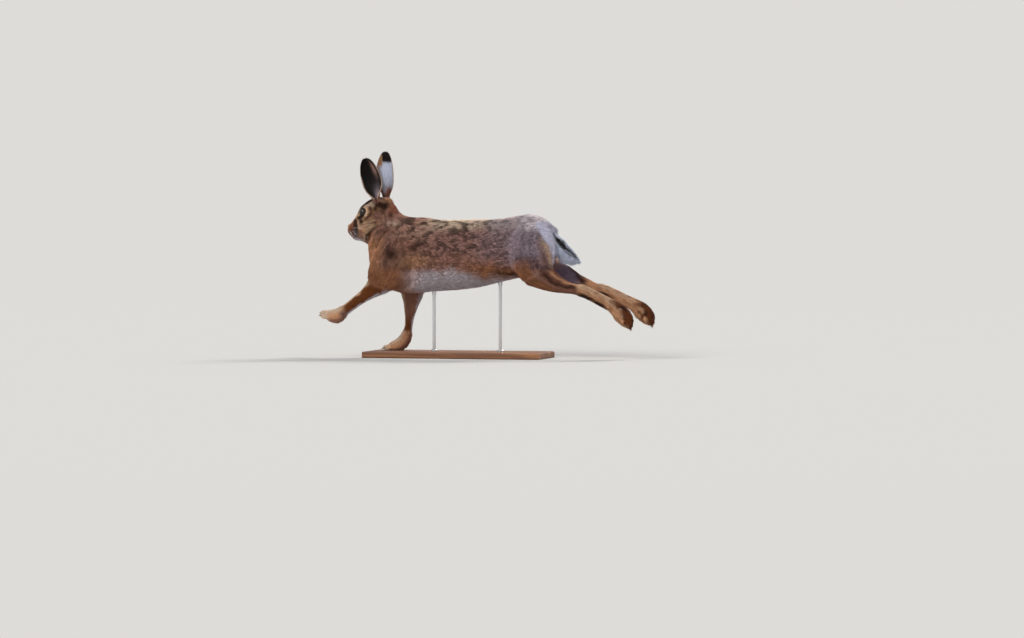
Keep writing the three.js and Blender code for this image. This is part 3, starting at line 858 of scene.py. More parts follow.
def ear_leaf(side):
    """Points and faces of one ear, its leaf's own measures and the way its hair lies."""
    ear = EARS[side]
    root, tip = np.array(ear["root"], float), np.array(ear["tip"], float)
    axis = tip - root
    lengthwise = unit(axis)
    front = np.array(ear["facing"], float)
    front = unit(front - lengthwise * (front @ lengthwise))
    across = np.cross(lengthwise, front)
    steps = (np.linspace(0, 1, EAR_ROWS + 1), np.linspace(-1, 1, EAR_COLUMNS + 1), (1, -1))
    share, turn, face = (grid.ravel() for grid in np.meshgrid(*steps, indexing="ij"))
    curl = TIP_CURL + (ROOT_CURL - TIP_CURL) * np.exp(-((share / ROLLED_PART) ** 2))
    radius = ear["spread"] * leaf_breadth(share) / curl
    ripple = RIPPLE * np.sin(9 * share + 2) * np.abs(turn) ** 3
    bend = EAR_BEND * np.sin(math.pi * share)
    rim = 1 - RIM_THINNING * np.abs(turn) ** 6
    reach = radius + face * EAR_THICKNESS / 2 * rim * (1 - TIP_THINNING * share**6)
    angle = curl * turn
    points = root + axis * share[:, None]
    points = points + across * (reach * np.sin(angle))[:, None]
    points = points + front * (radius * EAR_HOLLOW - reach * np.cos(angle) - bend + ripple)[:, None]
    rows, columns = EAR_ROWS + 1, EAR_COLUMNS + 1
    number = np.arange(rows * columns * 2).reshape(rows, columns, 2)
    quads = []
    for layer, flip in ((0, False), (1, True)):
        grid = number[:, :, layer]
        corners = [grid[:-1, :-1], grid[:-1, 1:], grid[1:, 1:], grid[1:, :-1]]
        quads.append(np.stack(corners[::-1] if flip else corners, -1).reshape(-1, 4))
    edge = np.concatenate([number[0, :-1], number[:-1, -1], number[-1, :0:-1], number[:0:-1, 0]])
    after = np.roll(edge, -1, axis=0)
    quads.append(np.stack([edge[:, 0], edge[:, 1], after[:, 1], after[:, 0]], -1))
    flow = np.tile(lengthwise, (len(points), 1))
    return points, np.vstack(quads), share, turn, face, flow


ear_parts = {side: ear_leaf(side) for side in EARS}
print("ear points", {side: len(part[0]) for side, part in ear_parts.items()})

# %% [markdown]
# ## Paints
# A hare is agouti: each hair is banded, so the coat looks grizzled. Every place on the
# animal has an under-colour near the skin, a main colour, and a strength of grizzle. They
# are painted in soft layers by place, one for each marking, and kept as colours for the
# skin and the tufts alike. The colours are named paints.


# %% Paints
def linear(code):
    """A colour written as in a picture editor, as the light values that Blender wants."""
    parts = np.array([int(code[i:i + 2], 16) / 255 for i in (0, 2, 4)])
    return np.where(parts <= 0.04045, parts / 12.92, ((parts + 0.055) / 1.055) ** 2.4)


PAINT = {name: linear(code) for name, code in {
    "cream": "dcc6b0", "back": "b59c88", "dark_side": "a0786e", "brown": "a4786a",
    # lavender and snow are white fur tinted blue as painted skylight, and belly is white fur dimmed
    # to a mauve grey, partly painted shade.
    "mauve": "a0909a", "lavender": "e0e0f6", "snow": "dce6fc", "belly": "c4b8be",
    "white": "e6e2e8", "orange": "ab7350", "chest": "c08a68", "fox": "80430f",
    "rust": "a0634c", "red_brown": "6e2c12", "dark_brown": "38190b", "black": "17130f",
    "tan": "bf9068", "pale_tan": "dfbfa0", "pink_brown": "b5836f",
    # The first paint here is painted shade, and the second a mauve grey that serves both as pale fur
    # in painted shade and as grey fur.
    "painted_shade": "5f4a54", "grey_and_shade": "7e6a7e", "frost": "ece2e6", "thigh": "8f5c4c",
    # The third paint here is a painted highlight for the outer thigh.
    "hock": "dca982", "sole": "7c3d14", "lit_rose": "cda596", "temple": "a37868",
    "horn": "2b211b", "under_dark": "33221a", "under_brown": "5b3827",
    "under_tan": "8a5e40", "under_grey": "75656e", "under_white": "aaa2aa",
    # The first paint here is the ear's inside in painted shade, near black.
    "ear_inside_shade": "15110f", "iris": "211209",
}.items()}


class Coat:
    """Under-colour, main colour and grizzle of many points, painted in layers."""

    def __init__(self, count, under, main, grizzle):
        self.under = np.tile(PAINT[under], (count, 1))
        self.main = np.tile(PAINT[main], (count, 1))
        self.grizzle = np.full(count, float(grizzle))

    def layer(self, mask, under, main, grizzle):
        share = np.clip(mask, 0, 1)[:, None]
        self.under += share * (PAINT[under] - self.under)
        self.main += share * (PAINT[main] - self.main)
        self.grizzle += share[:, 0] * (grizzle - self.grizzle)


print("paints", len(PAINT))

# %% [markdown]
# ## Places for the markings
# A marking is given by where it is: by its place seen from the side, by the height above
# the axis of the limb, and by how far the skin faces outwards. Soft noise shifts every
# point a little before it is looked up, so that no marking ends in a drawn line.

# %% Places for the markings
PATCH_SIZE, PATCH_SHIFT = 26, 6
FLECK_SIZE, AREA_SHIFT = 9, 8
distance, height, sideways = np.zeros((3, len(points)))
flow = np.zeros((len(points), 3))
for axis in AXES:
    chosen = np.isin(part_of, [i for i, name in enumerate(node_names) if axis_name(name) == axis])
    distance[chosen], height[chosen], sideways[chosen], flow[chosen] = along(axis, points[chosen])
normals = normals_of(skin_mesh)
place = mirrored(points)
patch = soft_noise(place, PATCH_SIZE, 3) - 0.5
fleck = soft_noise(place, FLECK_SIZE, 4) - 0.5
x, _, z = (place + PATCH_SHIFT * patch[:, None]).T
shifted = place + AREA_SHIFT * np.stack([patch, fleck, -patch], 1)
facing = np.abs(normals[:, 1]) * np.sign(normals[:, 1] * points[:, 1])
inside = ramp(0.0, -0.35, facing)
turned = height / np.hypot(height, sideways).clip(1e-6) + 0.25 * fleck
on_left = points[:, 1] < 0
coat = Coat(len(points), "under_dark", "brown", 0.7)
paint = coat.layer


def at(middle, radii):
    """A soft area on both sides of the body."""
    return spot(shifted, middle, radii)


def paint_areas(areas, within=1.0):
    """Soft areas: middle, radii and strength, then under-colour, main colour and grizzle."""
    for middle, radii, strength, *colours in areas:
        paint(within * at(middle, radii) * strength, *colours)


print("inner side", round(float(inside.mean()), 2))

# %% [markdown]
# ## Trunk and neck
# The back is cream and black on a dark ground and turns browner down the sides. The haunch
# is grey, the neck and chest are warm and plain, and an orange edge borders the white
# belly. The layers run from the back downwards, and each covers what lies under it.

# %% Trunk and neck
trunk = belongs(("chest", "loin", "rump", "neck"), 60)
paint(trunk * ramp(262, 298, z), "under_dark", "back", 1.0)
paint(trunk * ramp(290, 314, z) * ramp(-50, 20, x), "under_dark", "cream", 1.0)
paint(trunk * ramp(262, 298, z) * ramp(-10, -70, x) * 0.8, "under_dark", "brown", 1.0)
band = ramp(300, 280, z) * ramp(214, 240, z)
paint(trunk * band * ramp(-60, 10, x) * ramp(230, 160, x), "under_dark", "dark_side", 0.8)
paint(trunk * ramp(246, 222, z), "under_brown", "brown", 0.5)
paint_areas((
    ((-62, 60, 222), (34, 60, 18), 0.8, "under_brown", "tan", 0.4),
    ((70, 60, 224), (50, 60, 12), 0.6, "under_brown", "pink_brown", 0.4),
))
# The haunch is grey behind and on top, and darker below
haunch = belongs(("loin", "rump", "thigh"), 60) * ramp(50, 236, x + 0.3 * (z - 250) + 50 * patch)
haunch = haunch * ramp(170, 236, z)
paint(haunch, "under_grey", "mauve", 0.55)
paint(haunch * ramp(282, 308, z) * ramp(140, 250, x + 30 * patch), "under_grey", "frost", 0.5)
# Painted shade in the haunch's groove and in the hollow behind the shoulder, dark fur at
# the tail root and on the shoulder, and paler fur between them
paint_areas((
    ((222, 60, 222), (36, 60, 17), 0.8, "under_dark", "painted_shade", 0.4),
    ((262, 6, 313), (8, 16, 6), 0.8, "under_dark", "dark_side", 0.5),
    ((-109, 60, 238), (17, 60, 16), 1, "under_dark", "dark_brown", 0.6),
    ((-86, 60, 262), (17, 60, 13), 0.9, "under_brown", "pink_brown", 0.6),
    ((-60, 60, 256), (18, 60, 9), 0.9, "under_dark", "dark_brown", 0.6),
))
neck = belongs(("neck",), 30)
paint(neck * ramp(260, 280, z) * 0.9, "under_brown", "temple", 0.45)
paint_areas((((-113, 20, 312), (18, 40, 6), 0.6, "under_dark", "cream", 1.0),))
front = belongs(("neck", "chest", "upper_arm"), 30) * ramp(-118, -146, x) * ramp(292, 262, z)
paint(front, "under_tan", "chest", 0.3)
paint_areas((
    ((-118, 16, 350), (12, 30, 14), 1.4, "under_brown", "rust", 0.4),
    ((-123, 24, 334), (6, 20, 7), 1, "under_dark", "dark_brown", 0.3),
), within=neck)
# Painted shade in the fold of the neck
fold = stroke((place + 3 * fleck[:, None])[:, [0, 2]], NECK_FOLD, 3.5)
paint(neck * fold * 0.8, "under_dark", "dark_brown", 0.3)
# The belly's upper line is a height z for each x, and the orange edge lies above it
BELLY_LINE = ((-120, -50, 44, 112, 200, 300), (186, 198, 198, 178, 176, 168))
FLANK_CREASE = ((136, 192), (170, 190), (204, 184), (228, 174))
line = np.interp(x, *BELLY_LINE)
flank = belongs(("chest", "loin", "rump", "thigh"), 40)
edge = ramp(26, 2, np.abs(z - line - 16)) * ramp(40, 110, x) * ramp(300, 230, x)
paint(flank * edge, "under_brown", "orange", 0.35)
belly = belongs(("chest", "loin", "rump", "upper_arm"), 30)
belly = belly * ramp(15, -12, z - line + 12 * fleck + 8 * patch)
paint(belly * ramp(-140, -90, x), "under_tan", "pink_brown", 0.3)
# The belly: white fur, painted dimmer as partly painted shade
paint(belly * ramp(-112, -30, x + 14 * patch), "under_white", "belly", 0.1)
# Painted shadow of the flank's fold, above the belly
crease_shade = stroke(place[:, [0, 2]] + 3 * fleck[:, None], FLANK_CREASE, 5)
paint(belongs(("loin", "thigh"), 12) * crease_shade * 0.8, "under_dark", "dark_brown", 0.3)
print("trunk painted, belly", round(float(belly.mean()), 2))

# %% [markdown]
# ## Forelegs
# The forelegs are fox-coloured outside, softer inside and pale along both edges, and the
# paws end in cream toes. Painted shade lies under the left wrist.

# %% Forelegs
arm = belongs(("upper_arm",), 20)
paint(arm * ramp(222, 190, z) * ramp(-70, -100, x), "under_brown", "orange", 0.3)
paint(arm * inside * ramp(205, 170, z), "under_brown", "pink_brown", 0.2)
forearm = belongs(("forearm",), 20)
paint(forearm, "under_dark", "fox", 0.2)
paint(forearm * inside * ramp(60, 100, z) * 0.8, "under_brown", "pink_brown", 0.2)
paint(forearm * ramp(-0.78, -0.93, turned), "under_tan", "pale_tan", 0.1)
paint(forearm * ramp(0.82, 0.94, turned), "under_white", "belly", 0.1)
paw = belongs(("fore_paw",), 16)
paint(paw, "under_tan", "hock", 0.2)
paint(paw * ramp(0.3, 0.8, turned), "under_brown", "pink_brown", 0.2)
paint(paw * ramp(-0.1, -0.8, turned), "under_tan", "cream", 0.1)
toes = np.where(on_left, ramp(-258, -274, points[:, 0]), ramp(-128, -140, points[:, 0]))
paint(paw * toes, "under_tan", "cream", 0.1)
# Painted shade under the bend of the left wrist
paint(at((-227, 60, 88), (9, 60, 7)) * np.maximum(paw, forearm), "under_dark", "painted_shade", 0.2)
print("forelegs painted")

# %% [markdown]
# ## Hind legs
# The thigh is brown and the shin tan. Painted shade darkens their lower edges and folds,
# painted highlights run along the thigh's edges, and the inner sides are pale fur in
# painted shade. The foot is pale above and has a dark reddish sole, which this stride
# turns to the rear.

# %% Hind legs
# Painted shade and highlight from the side: points, width, strength, colours and grizzle
LEG_LINES = (
    (
        ((262, 200), (276, 186), (294, 167), (318, 160), (346, 158)), 4.5,
        0.9, "under_dark", "dark_brown", 0.25,
    ),
    (
        ((280, 203), (293, 188), (307, 177), (326, 169), (347, 163)), 3.0,
        0.9, "under_tan", "hock", 0.25,
    ),
    (((240, 150), (270, 143), (300, 139), (330, 138)), 4.0, 0.8, "under_dark", "red_brown", 0.25),
)
# On the inner side of the legs: a dark line, and a painted highlight along the far leg's back edge
INNER_LEG_LINES = (
    (((312, 207), (327, 189), (345, 167)), 4.5, 1, "black", "dark_brown", 0.1),
    (((328, 214), (343, 193), (360, 174)), 4.5, 1, "under_tan", "hock", 0.2),
)
LIT_THIGH = ((250, 196), (270, 176), (300, 158), (330, 152))
THIGH_FOLD = ((212, 205), (230, 208), (250, 212), (278, 206))
SOLE_FROM = (424, 470)
seen_flat = (place + 4 * fleck[:, None])[:, [0, 2]]
uneven_height = height + 3 * fleck


def paint_lines(lines, within, flat):
    """Soft lines on the places in `flat`, which hold only x and z."""
    for path, width, strength, *colours in lines:
        paint(within * strength * stroke(flat, path, width), *colours)


thigh = belongs(("thigh",), 40)
shin = belongs(("shin",), 24)
leg = np.maximum(thigh * ramp(240, 186, z + 20 * patch), shin)
paint(leg, "under_brown", "thigh", 0.35)
both = np.maximum(thigh, shin)
paint(both * (stroke(seen_flat, LIT_THIGH, 8) * on_left) * 0.7, "under_brown", "pink_brown", 0.3)
outer_thigh = both * ramp(0, 0.4, facing)
# Painted highlight on the outer thigh, and painted shade in the thigh's fold
paint(outer_thigh * at((243, 60, 188), (20, 60, 15)) * 0.9, "under_brown", "lit_rose", 0.4)
paint(outer_thigh * stroke(seen_flat, THIGH_FOLD, 4) * 0.8, "under_dark", "painted_shade", 0.3)
paint(leg * ramp(346, 362, x), "under_tan", "hock", 0.4)
paint(leg * ramp(300, 280, x) * ramp(-6, -14, height), "under_brown", "orange", 0.3)
# Painted shade along the shin's lower edge
paint(leg * ramp(376, 392, x) * ramp(-2, -8, uneven_height), "under_dark", "dark_brown", 0.2)
paint_lines(LEG_LINES, both, seen_flat)
# The inner sides of the hind legs are pale fur in painted shade, a mauve grey
rear = both * inside * ramp(250, 226, z)
paint(rear * ramp(350, 326, x), "under_grey", "grey_and_shade", 0.3)
paint_lines(INNER_LEG_LINES, rear, seen_flat)
foot = belongs(("hind_foot",), 16)
paint(foot, "under_tan", "hock", 0.45)
paint(foot * ramp(-0.2, 0.5, turned) * 0.5, "under_tan", "pale_tan", 0.3)
paint(foot * ramp(0.5, 0.9, turned) * ramp(470, 440, x), "under_tan", "cream", 0.2)
# Painted shade along the foot's lower side, and paler fur along its upper side
paint(foot * ramp(-1, -7, uneven_height) * ramp(430, 410, x), "under_dark", "dark_brown", 0.2)
paint(foot * ramp(3, 9, uneven_height) * ramp(470, 430, x), "under_tan", "pale_tan", 0.2)
paint(foot * ramp(0, 0.3, fleck) * 0.7, "under_brown", "orange", 0.3)
beyond = points[:, 0] - np.where(on_left, *SOLE_FROM)
sole = foot * ramp(0, 26, beyond) * ramp(-0.25, 0.3, normals[:, 0] + 0.6 * fleck)
paint(sole, "under_dark", "sole", 0.25)
# Dark blotches on the sole: dark fur of the toe pads, partly painted shade
paint(sole * ramp(0.02, 0.2, soft_noise(place, 8, 13) - 0.5), "black", "dark_brown", 0.1)
print("hind legs painted, sole", round(float(sole.mean()), 3))

# %% [markdown]
# ## Seat and tail
# The white seat begins behind the haunch with a brown and then a pale edge. The tail is
# white with a black upper side. It is twisted here, so the black side leans to the left.

# %% Seat and tail
# Where the seat begins: x at each height z
SEAT_EDGE = ((200, 238, 261, 273, 305), (289, 275, 266, 257, 232))
TAIL_TWIST = -46
# Half of the stripe's breadth in degrees at each x along the tail
STRIPE_HALF = ((266, 278, 296, 320, 338), (4, 16, 26, 26, 8))
STRIPE_START = ((268, -14, 294), (276, -16, 288), (286, -17, 280))
seat_edge = x - np.interp(z, *SEAT_EDGE)
behind = belongs(("rump", "thigh", "tail"), 10) * ramp(204, 224, z)
brown_edge = behind * spot(seat_edge[:, None], (-12,), (7,))
pale_edge = behind * spot(seat_edge[:, None], (-2,), (4,))
paint(brown_edge * ramp(280, 256, z) * 0.6, "under_brown", "brown", 0.4)
paint(pale_edge * ramp(284, 262, z), "under_tan", "pale_tan", 0.1)
seat = ramp(0, 10, seat_edge) * ramp(320, 306, z)
# The seat's white fur, tinted blue as painted skylight
paint(behind * seat, "under_white", "lavender", 0.05)
paint(behind * at((272, 14, 308), (16, 30, 7)) * 0.8, "under_grey", "grey_and_shade", 0.4)
# The tail's white fur, tinted blue as painted skylight
paint(belongs(("tail",), 5), "under_white", "snow", 0.03)
turn = np.degrees(np.arctan2(sideways, height)) - TAIL_TWIST
half = np.interp(points[:, 0] + 8 * fleck, *STRIPE_HALF)
root = belongs(("tail",), 3) * ramp(262, 268, points[:, 0])
stripe = root * ramp(half + 7, half - 7, np.abs(turn) + 16 * fleck) * ramp(344, 336, points[:, 0])
start = stroke(points, STRIPE_START, 4.5)
paint(np.maximum(stripe, 1.3 * start), "black", "black", 0.1)
print("seat and tail painted")

# %% [markdown]
# ## Face
# The face is painted like the body, in soft areas first and fine lines after them: a pale
# ring round the eye, dark fur under it and on the crown and muzzle, pale streaks on the
# cheek, and painted shade under the cheek and in the fold behind the jaw. The noise is
# finer here, because the fur is shorter.

# %% Face
# Soft areas: middle and radii, under-colour, main colour and grizzle
FACE = (
    ((-151, 24, 326), (18, 30, 12), "under_brown", "temple", 0.5),
    ((-207, 0, 320), (22, 6, 14), "under_dark", "dark_side", 0.5),
    ((-202, 13, 325), (8, 10, 11), "under_tan", "pale_tan", 0.15),
    ((-177, 22, 301), (15, 14, 10), "under_brown", "pale_tan", 0.5),
    ((-164, 20, 276), (13, 24, 12), "under_brown", "orange", 0.3),
    # Painted shade under the cheek
    ((-177, 16, 265), (8, 20, 6), "under_dark", "red_brown", 0.1),
    ((-190, 14, 277), (9, 12, 9), "under_brown", "thigh", 0.1),
    ((-212, 10, 291), (13, 18, 14), "under_dark", "red_brown", 0.1),
    ((-211, 10, 289), (9, 18, 10), "under_dark", "red_brown", 0.1),
    ((-215, 12, 297), (3.5, 9, 4), "under_brown", "rust", 0.1),
    ((-149, 18, 350), (8, 14, 7), "under_dark", "dark_brown", 0.2),
    ((-136, 18, 348), (10, 14, 9), "under_dark", "dark_brown", 0.2),
    ((-196, 16, 314), (8, 9, 6), "black", "dark_brown", 0.05),
    ((-193, 16, 309), (5, 9, 5), "black", "dark_brown", 0.05),
    ((-206, 8, 266), (17, 14, 4.5), "under_white", "white", 0.05),
    ((-230, 0, 284), (3, 9, 3), "under_white", "belly", 0.05),
    ((-227, 3, 302), (5, 7, 4), "under_tan", "tan", 0.1),
    ((-233, 0, 299), (2, 5, 3), "under_dark", "dark_brown", 0.1),
)
# Lines seen from the side: points in x and z, width and strength, colours and grizzle
FACE_LINES = (
    (((-203, 337), (-195, 346), (-186, 355), (-176, 362)), 5.5, 1.6, "black", "dark_brown", 0.1),
    (((-171, 347), (-167.5, 334), (-174, 321), (-182, 316)), 2.6, 1, "under_dark", "dark_brown", 0.2),
    (((-185, 347), (-176, 351), (-169, 355), (-167, 350)), 3.2, 1.6, "under_tan", "cream", 0.05),
    (((-199, 322), (-194.5, 315), (-191, 307)), 3.4, 1.6, "black", "dark_brown", 0.05),
    (((-159, 360), (-158.5, 340)), 4.0, 1.2, "under_dark", "dark_brown", 0.2),
    (((-201.5, 313), (-199, 306), (-197.5, 299)), 1.7, 1.6, "under_tan", "pale_tan", 0.05),
    (((-197.5, 299), (-195, 290)), 2.8, 1.2, "under_tan", "pale_tan", 0.1),
    (((-195, 290), (-194, 274)), 2.4, 1.2, "under_tan", "thigh", 0.1),
    (((-209, 312), (-207, 299), (-205, 286), (-207, 278)), 5.0, 1.8, "black", "dark_brown", 0.05),
    (((-188, 306), (-179, 309)), 1.6, 1.5, "under_tan", "pale_tan", 0.05),
    (((-186, 299), (-172, 305)), 1.5, 1.5, "under_tan", "pale_tan", 0.05),
    (((-182, 292), (-164, 302)), 1.5, 1.3, "under_tan", "pale_tan", 0.05),
    (((-174, 310), (-157, 315)), 1.6, 1.2, "under_tan", "pale_tan", 0.05),
    (((-187, 302.5), (-174, 308)), 1.0, 1, "under_dark", "rust", 0.2),
    (((-184, 295.5), (-168, 304)), 1.0, 1, "under_dark", "rust", 0.2),
    (JAW_EDGE, 2.1, 1.3, "under_tan", "pale_tan", 0.1),
    # Painted shade in the fold behind the jaw
    (JAW_FOLD, 2.0, 1.3, "under_dark", "dark_brown", 0.2),
    (((-222, 287), (-216, 279), (-209, 272), (-197, 265)), 1.3, 0.6, "under_white", "belly", 0),
)
AREA_STRENGTH = 1.5
RING_START, RING_END = (0.90, 0.96), (1.44, 1.32)
LID_AREA = 16
CROWN_MIDDLE, CROWN_SLOPE = (-188, 331), 0.55


def beside_eye(points, side):
    """Distance from the middle line of an eye, where 1 is the rim of the lids."""
    centre, back, up, outwards = eye_frame(side)
    away = points - centre
    across, rise = (EYE_RADIUS * math.sin(half) for half in LID_HALF)
    share = np.hypot(away @ back / across, away @ up / rise)
    return np.where(away @ outwards > 0, share, 9.0)


warp = np.stack([soft_noise(place, 6, seed) for seed in (5, 6, 7)], 1) - 0.5
face_place = place + 3 * warp
streak = soft_noise(face_place * (1, 0.4, 3.2), 12, 8) - 0.5
head = belongs(("head",), 14)
paint(head, "under_brown", "tan", 0.6)
paint(head * ramp(0.0, 0.16, streak) * 0.6, "under_dark", "brown", 0.5)
crown_line = CROWN_MIDDLE[1] + CROWN_SLOPE * (face_place[:, 0] - CROWN_MIDDLE[0])
crown = ramp(2, 14, face_place[:, 2] - crown_line)
paint(head * crown, "under_dark", "dark_side", 0.8)
paint(head * crown * ramp(0.0, 0.14, streak) * 0.8, "under_dark", "rust", 0.6)
for middle, radii, *colours in FACE:
    paint(head * spot(face_place, middle, radii) * AREA_STRENGTH, *colours)
for side in (-1, 1):
    around = beside_eye(points, side) + 0.15 * warp[:, 0]
    ring = head * ramp(*RING_START, around) * ramp(*RING_END, around)
    paint(ring, "under_tan", "pale_tan", 0.05)
paint_lines(FACE_LINES, head, face_place[:, [0, 2]])
for side in (-1, 1):
    near = np.linalg.norm(points - eye_frame(side)[0], axis=1) < LID_AREA
    paint(near * ramp(1.0, 0.93, lid_share(points, side)), "black", "black", 0)
print("painted", len(points), "points")

# %% [markdown]
# ## The lie of the coat
# Hair leans from the nose backwards, down each limb and out along the tail, and on the
# sides it also sinks a little. The direction of each axis, laid flat on the skin and
# smoothed over its neighbours, gives that lie without any break where limbs begin.

# %% The lie of the coat
SINK = 0.35
THIGH_LIE = (0.86, 0.0, -0.5)
THIGH_BORDER = 90
EAR_ROOT_AREA = (11, 11, 12)
LIE_TURNS, LIE_ROUNDS = 3, 40


def across_normal(vectors):
    """What is left of the vectors when they are laid flat on the skin."""
    return vectors - normals * (vectors * normals).sum(1)[:, None]


trunk_flow = along("trunk", points)[3]
x, _, z = points.T
share = (belongs(("upper_arm",), 30) * ramp(190, 262, z))[:, None]
flow = flow + share * (trunk_flow - flow)
share = belongs(("thigh",), THIGH_BORDER)[:, None]
down = ramp(320, 190, z)[:, None]
flow = flow + share * (unit(trunk_flow + down * (np.array(THIGH_LIE) - trunk_flow)) - flow)
head_on = ramp(0.75, 0.98, np.abs((unit(flow) * normals).sum(1)))
ear_root = np.zeros(len(points))
for side, ear in EARS.items():
    near = spot(points, ear["root"], EAR_ROOT_AREA) * belongs(("head",), 6)
    flow = flow + near[:, None] * (ear_parts[side][5][0] - flow)
    ear_root = np.maximum(ear_root, near)
on_trunk = belongs(("chest", "loin", "rump", "neck"), 20)
flow[:, 2] -= SINK * on_trunk * (1 - np.abs(normals[:, 2]))
for _ in range(LIE_TURNS):
    flow = relax(unit(across_normal(flow)), LIE_ROUNDS)
flow = unit(across_normal(flow))
print("hair that points down", round(float((flow[:, 2] < 0).mean()), 2))

# %% [markdown]
# ## Materials of fur and skin
# One material reads each point's painted colour. Fine noise, stretched along the lie,
# breaks the colour into hairs and lifts the surface a little as a bump. So the short flat
# fur of the legs and face is there even between the tufts.

# %% Materials of fur and skin
HAIR_SIZE = 1.1
HAIR_DETAIL = 4
HAIR_DEPTH = {"Strength": 0.25, "Distance": 0.001}
HAIR_SHADE = {"From Min": 0.3, "From Max": 0.7, "To Min": 0.55, "To Max": 1.3}


def painted(name, roughness, hairs=False):
    """A material with each point's own colour, and fine hairs where they are asked for."""
    made, tree, shader = material(name, {"Roughness": roughness, "Specular IOR Level": 0.2})
    tone = add_node(tree, "Attribute", attribute_name="tone")
    if not hairs:
        wire(tree, (tone, "Color", shader, "Base Color"))
        return made
    lie = add_node(tree, "Attribute", attribute_name="lie")
    noise = add_node(tree, "TexNoise", {"Scale": HAIR_SIZE, "Detail": HAIR_DETAIL})
    shade = add_node(tree, "MapRange", HAIR_SHADE)
    shaded = add_node(tree, "VectorMath", operation="SCALE")
    bump = add_node(tree, "Bump", HAIR_DEPTH)
    wire(
        tree,
        (lie, "Vector", noise, "Vector"), (noise, "Fac", shade, "Value"),
        (tone, "Color", shaded, 0), (shade, "Result", shaded, "Scale"),
        (shaded, "Vector", shader, "Base Color"),
        (noise, "Fac", bump, "Height"), (bump, "Normal", shader, "Normal"),
    )
    return made


skin_material = painted("short_fur", 0.8, hairs=True)
tuft_material = painted("fur_tufts", 0.62)
print("fur materials ready")

# %% [markdown]
# ## From arrays to objects
# Tens of thousands of tufts are too many to add one by one. Each piece is worked out as
# arrays of points, faces and colours, and handed to Blender at once. Every piece is fixed
# to the one body that the frame has, and is told what it is made of.


# %% From arrays to objects
def piece(name, points, faces, tone, look, lie=None, bake=None, smooth=True):
    """One object from arrays: points in millimetres, faces all with as many corners."""
    mesh = bpy.data.meshes.new(name)
    faces = [np.asarray(f, np.int32) for f in (faces if isinstance(faces, list) else [faces])]
    corners = np.concatenate([f.ravel() for f in faces])
    sizes = np.concatenate([np.full(len(f), f.shape[1]) for f in faces])
    mesh.vertices.add(len(points))
    mesh.vertices.foreach_set("co", metres(points).astype(np.float32).ravel())
    mesh.loops.add(len(corners))
    mesh.loops.foreach_set("vertex_index", corners)
    mesh.polygons.add(len(sizes))
    starts = np.concatenate([[0], np.cumsum(sizes)[:-1]]).astype(np.int32)
    mesh.polygons.foreach_set("loop_start", starts)
    mesh.polygons.foreach_set("use_smooth", np.full(len(sizes), smooth))
    mesh.update(calc_edges=True)
    mesh.validate()
    colours = mesh.color_attributes.new("tone", "FLOAT_COLOR", "POINT")
    rgba = np.concatenate([tone, np.ones((len(tone), 1))], 1).astype(np.float32)
    colours.data.foreach_set("color", rgba.ravel())
    if lie is not None:
        field = mesh.attributes.new("lie", "FLOAT_VECTOR", "POINT")
        field.data.foreach_set("vector", lie.astype(np.float32).ravel())
    if bake is not None:
        layer = mesh.uv_layers.new(name="OFBake")
        layer.data.foreach_set("uv", bake[corners].astype(np.float32).ravel())
    mesh.materials.append(look)
    made = put(name, mesh)
    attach(made, "root")
    return made


def ring_quads(number):
    """Four-sided faces between the rows of a grid that closes round its columns."""
    after = np.roll(number, -1, axis=1)
    return np.stack([number[:-1], after[:-1], after[1:], number[1:]], -1).reshape(-1, 4)


print("piece builder ready")

# %% [markdown]
# ## Lids
# Each lid is a soft rim that follows the opening round the eyeball. It is dark and bare
# where it touches the eye and pale with fine hair outside. The two corners are drawn out.

# %% Lid rims
LID_RADIUS = 0.8
LID_STEPS = 56
LID_SIDES = 10
LID_CORNER = 0.08
LID_RISE = 0.35
BARE_RIM = (1.02, 0.95)


def lid_rim(side):
    """Points, faces and colours of the rim round one eye."""
    centre, back, up, outwards = eye_frame(side)
    turn = np.linspace(0, 2 * math.pi, LID_STEPS, endpoint=False)
    corner = np.cos(turn)
    flat = np.outer(corner, back) + np.outer(np.sin(turn), up)
    angle = 1 / np.hypot(corner / LID_HALF[0], np.sin(turn) / LID_HALF[1])
    angle *= 1 + LID_CORNER * np.abs(corner) ** 9
    way = np.outer(np.cos(angle), outwards) + flat * np.sin(angle)[:, None]
    middle = centre + way * (EYE_RADIUS + LID_RISE)
    ahead = unit(np.roll(middle, -1, axis=0) - np.roll(middle, 1, axis=0))
    beside = np.cross(ahead, way)
    ring = np.linspace(0, 2 * math.pi, LID_SIDES, endpoint=False)
    points = middle[:, None] + LID_RADIUS * (
        np.cos(ring)[:, None] * way[:, None] + np.sin(ring)[:, None] * beside[:, None]
    )
    number = np.arange(LID_STEPS * LID_SIDES).reshape(LID_STEPS, LID_SIDES)
    after, around = np.roll(number, -1, 0), np.roll(number, -1, 1)
    quads = np.stack([number, around, np.roll(after, -1, 1), after], -1).reshape(-1, 4)
    points = points.reshape(-1, 3)
    bare = ramp(*BARE_RIM, lid_share(points, side))[:, None]
    return points, quads, PAINT["pale_tan"] * (1 - bare) + PAINT["black"] * bare


rims = [lid_rim(side) for side in (-1, 1)]
print("lid rims", len(rims))

# %% [markdown]
# ## Coat of the ears
# An ear's inside is painted near black as shade, with thin cream rims. Its back is
# grey-white with a black tip, and browner on the edge towards the nose. Its markings go by
# the leaf's own measures: the share of the ear's length, and the turn from one edge of the
# leaf to the other.


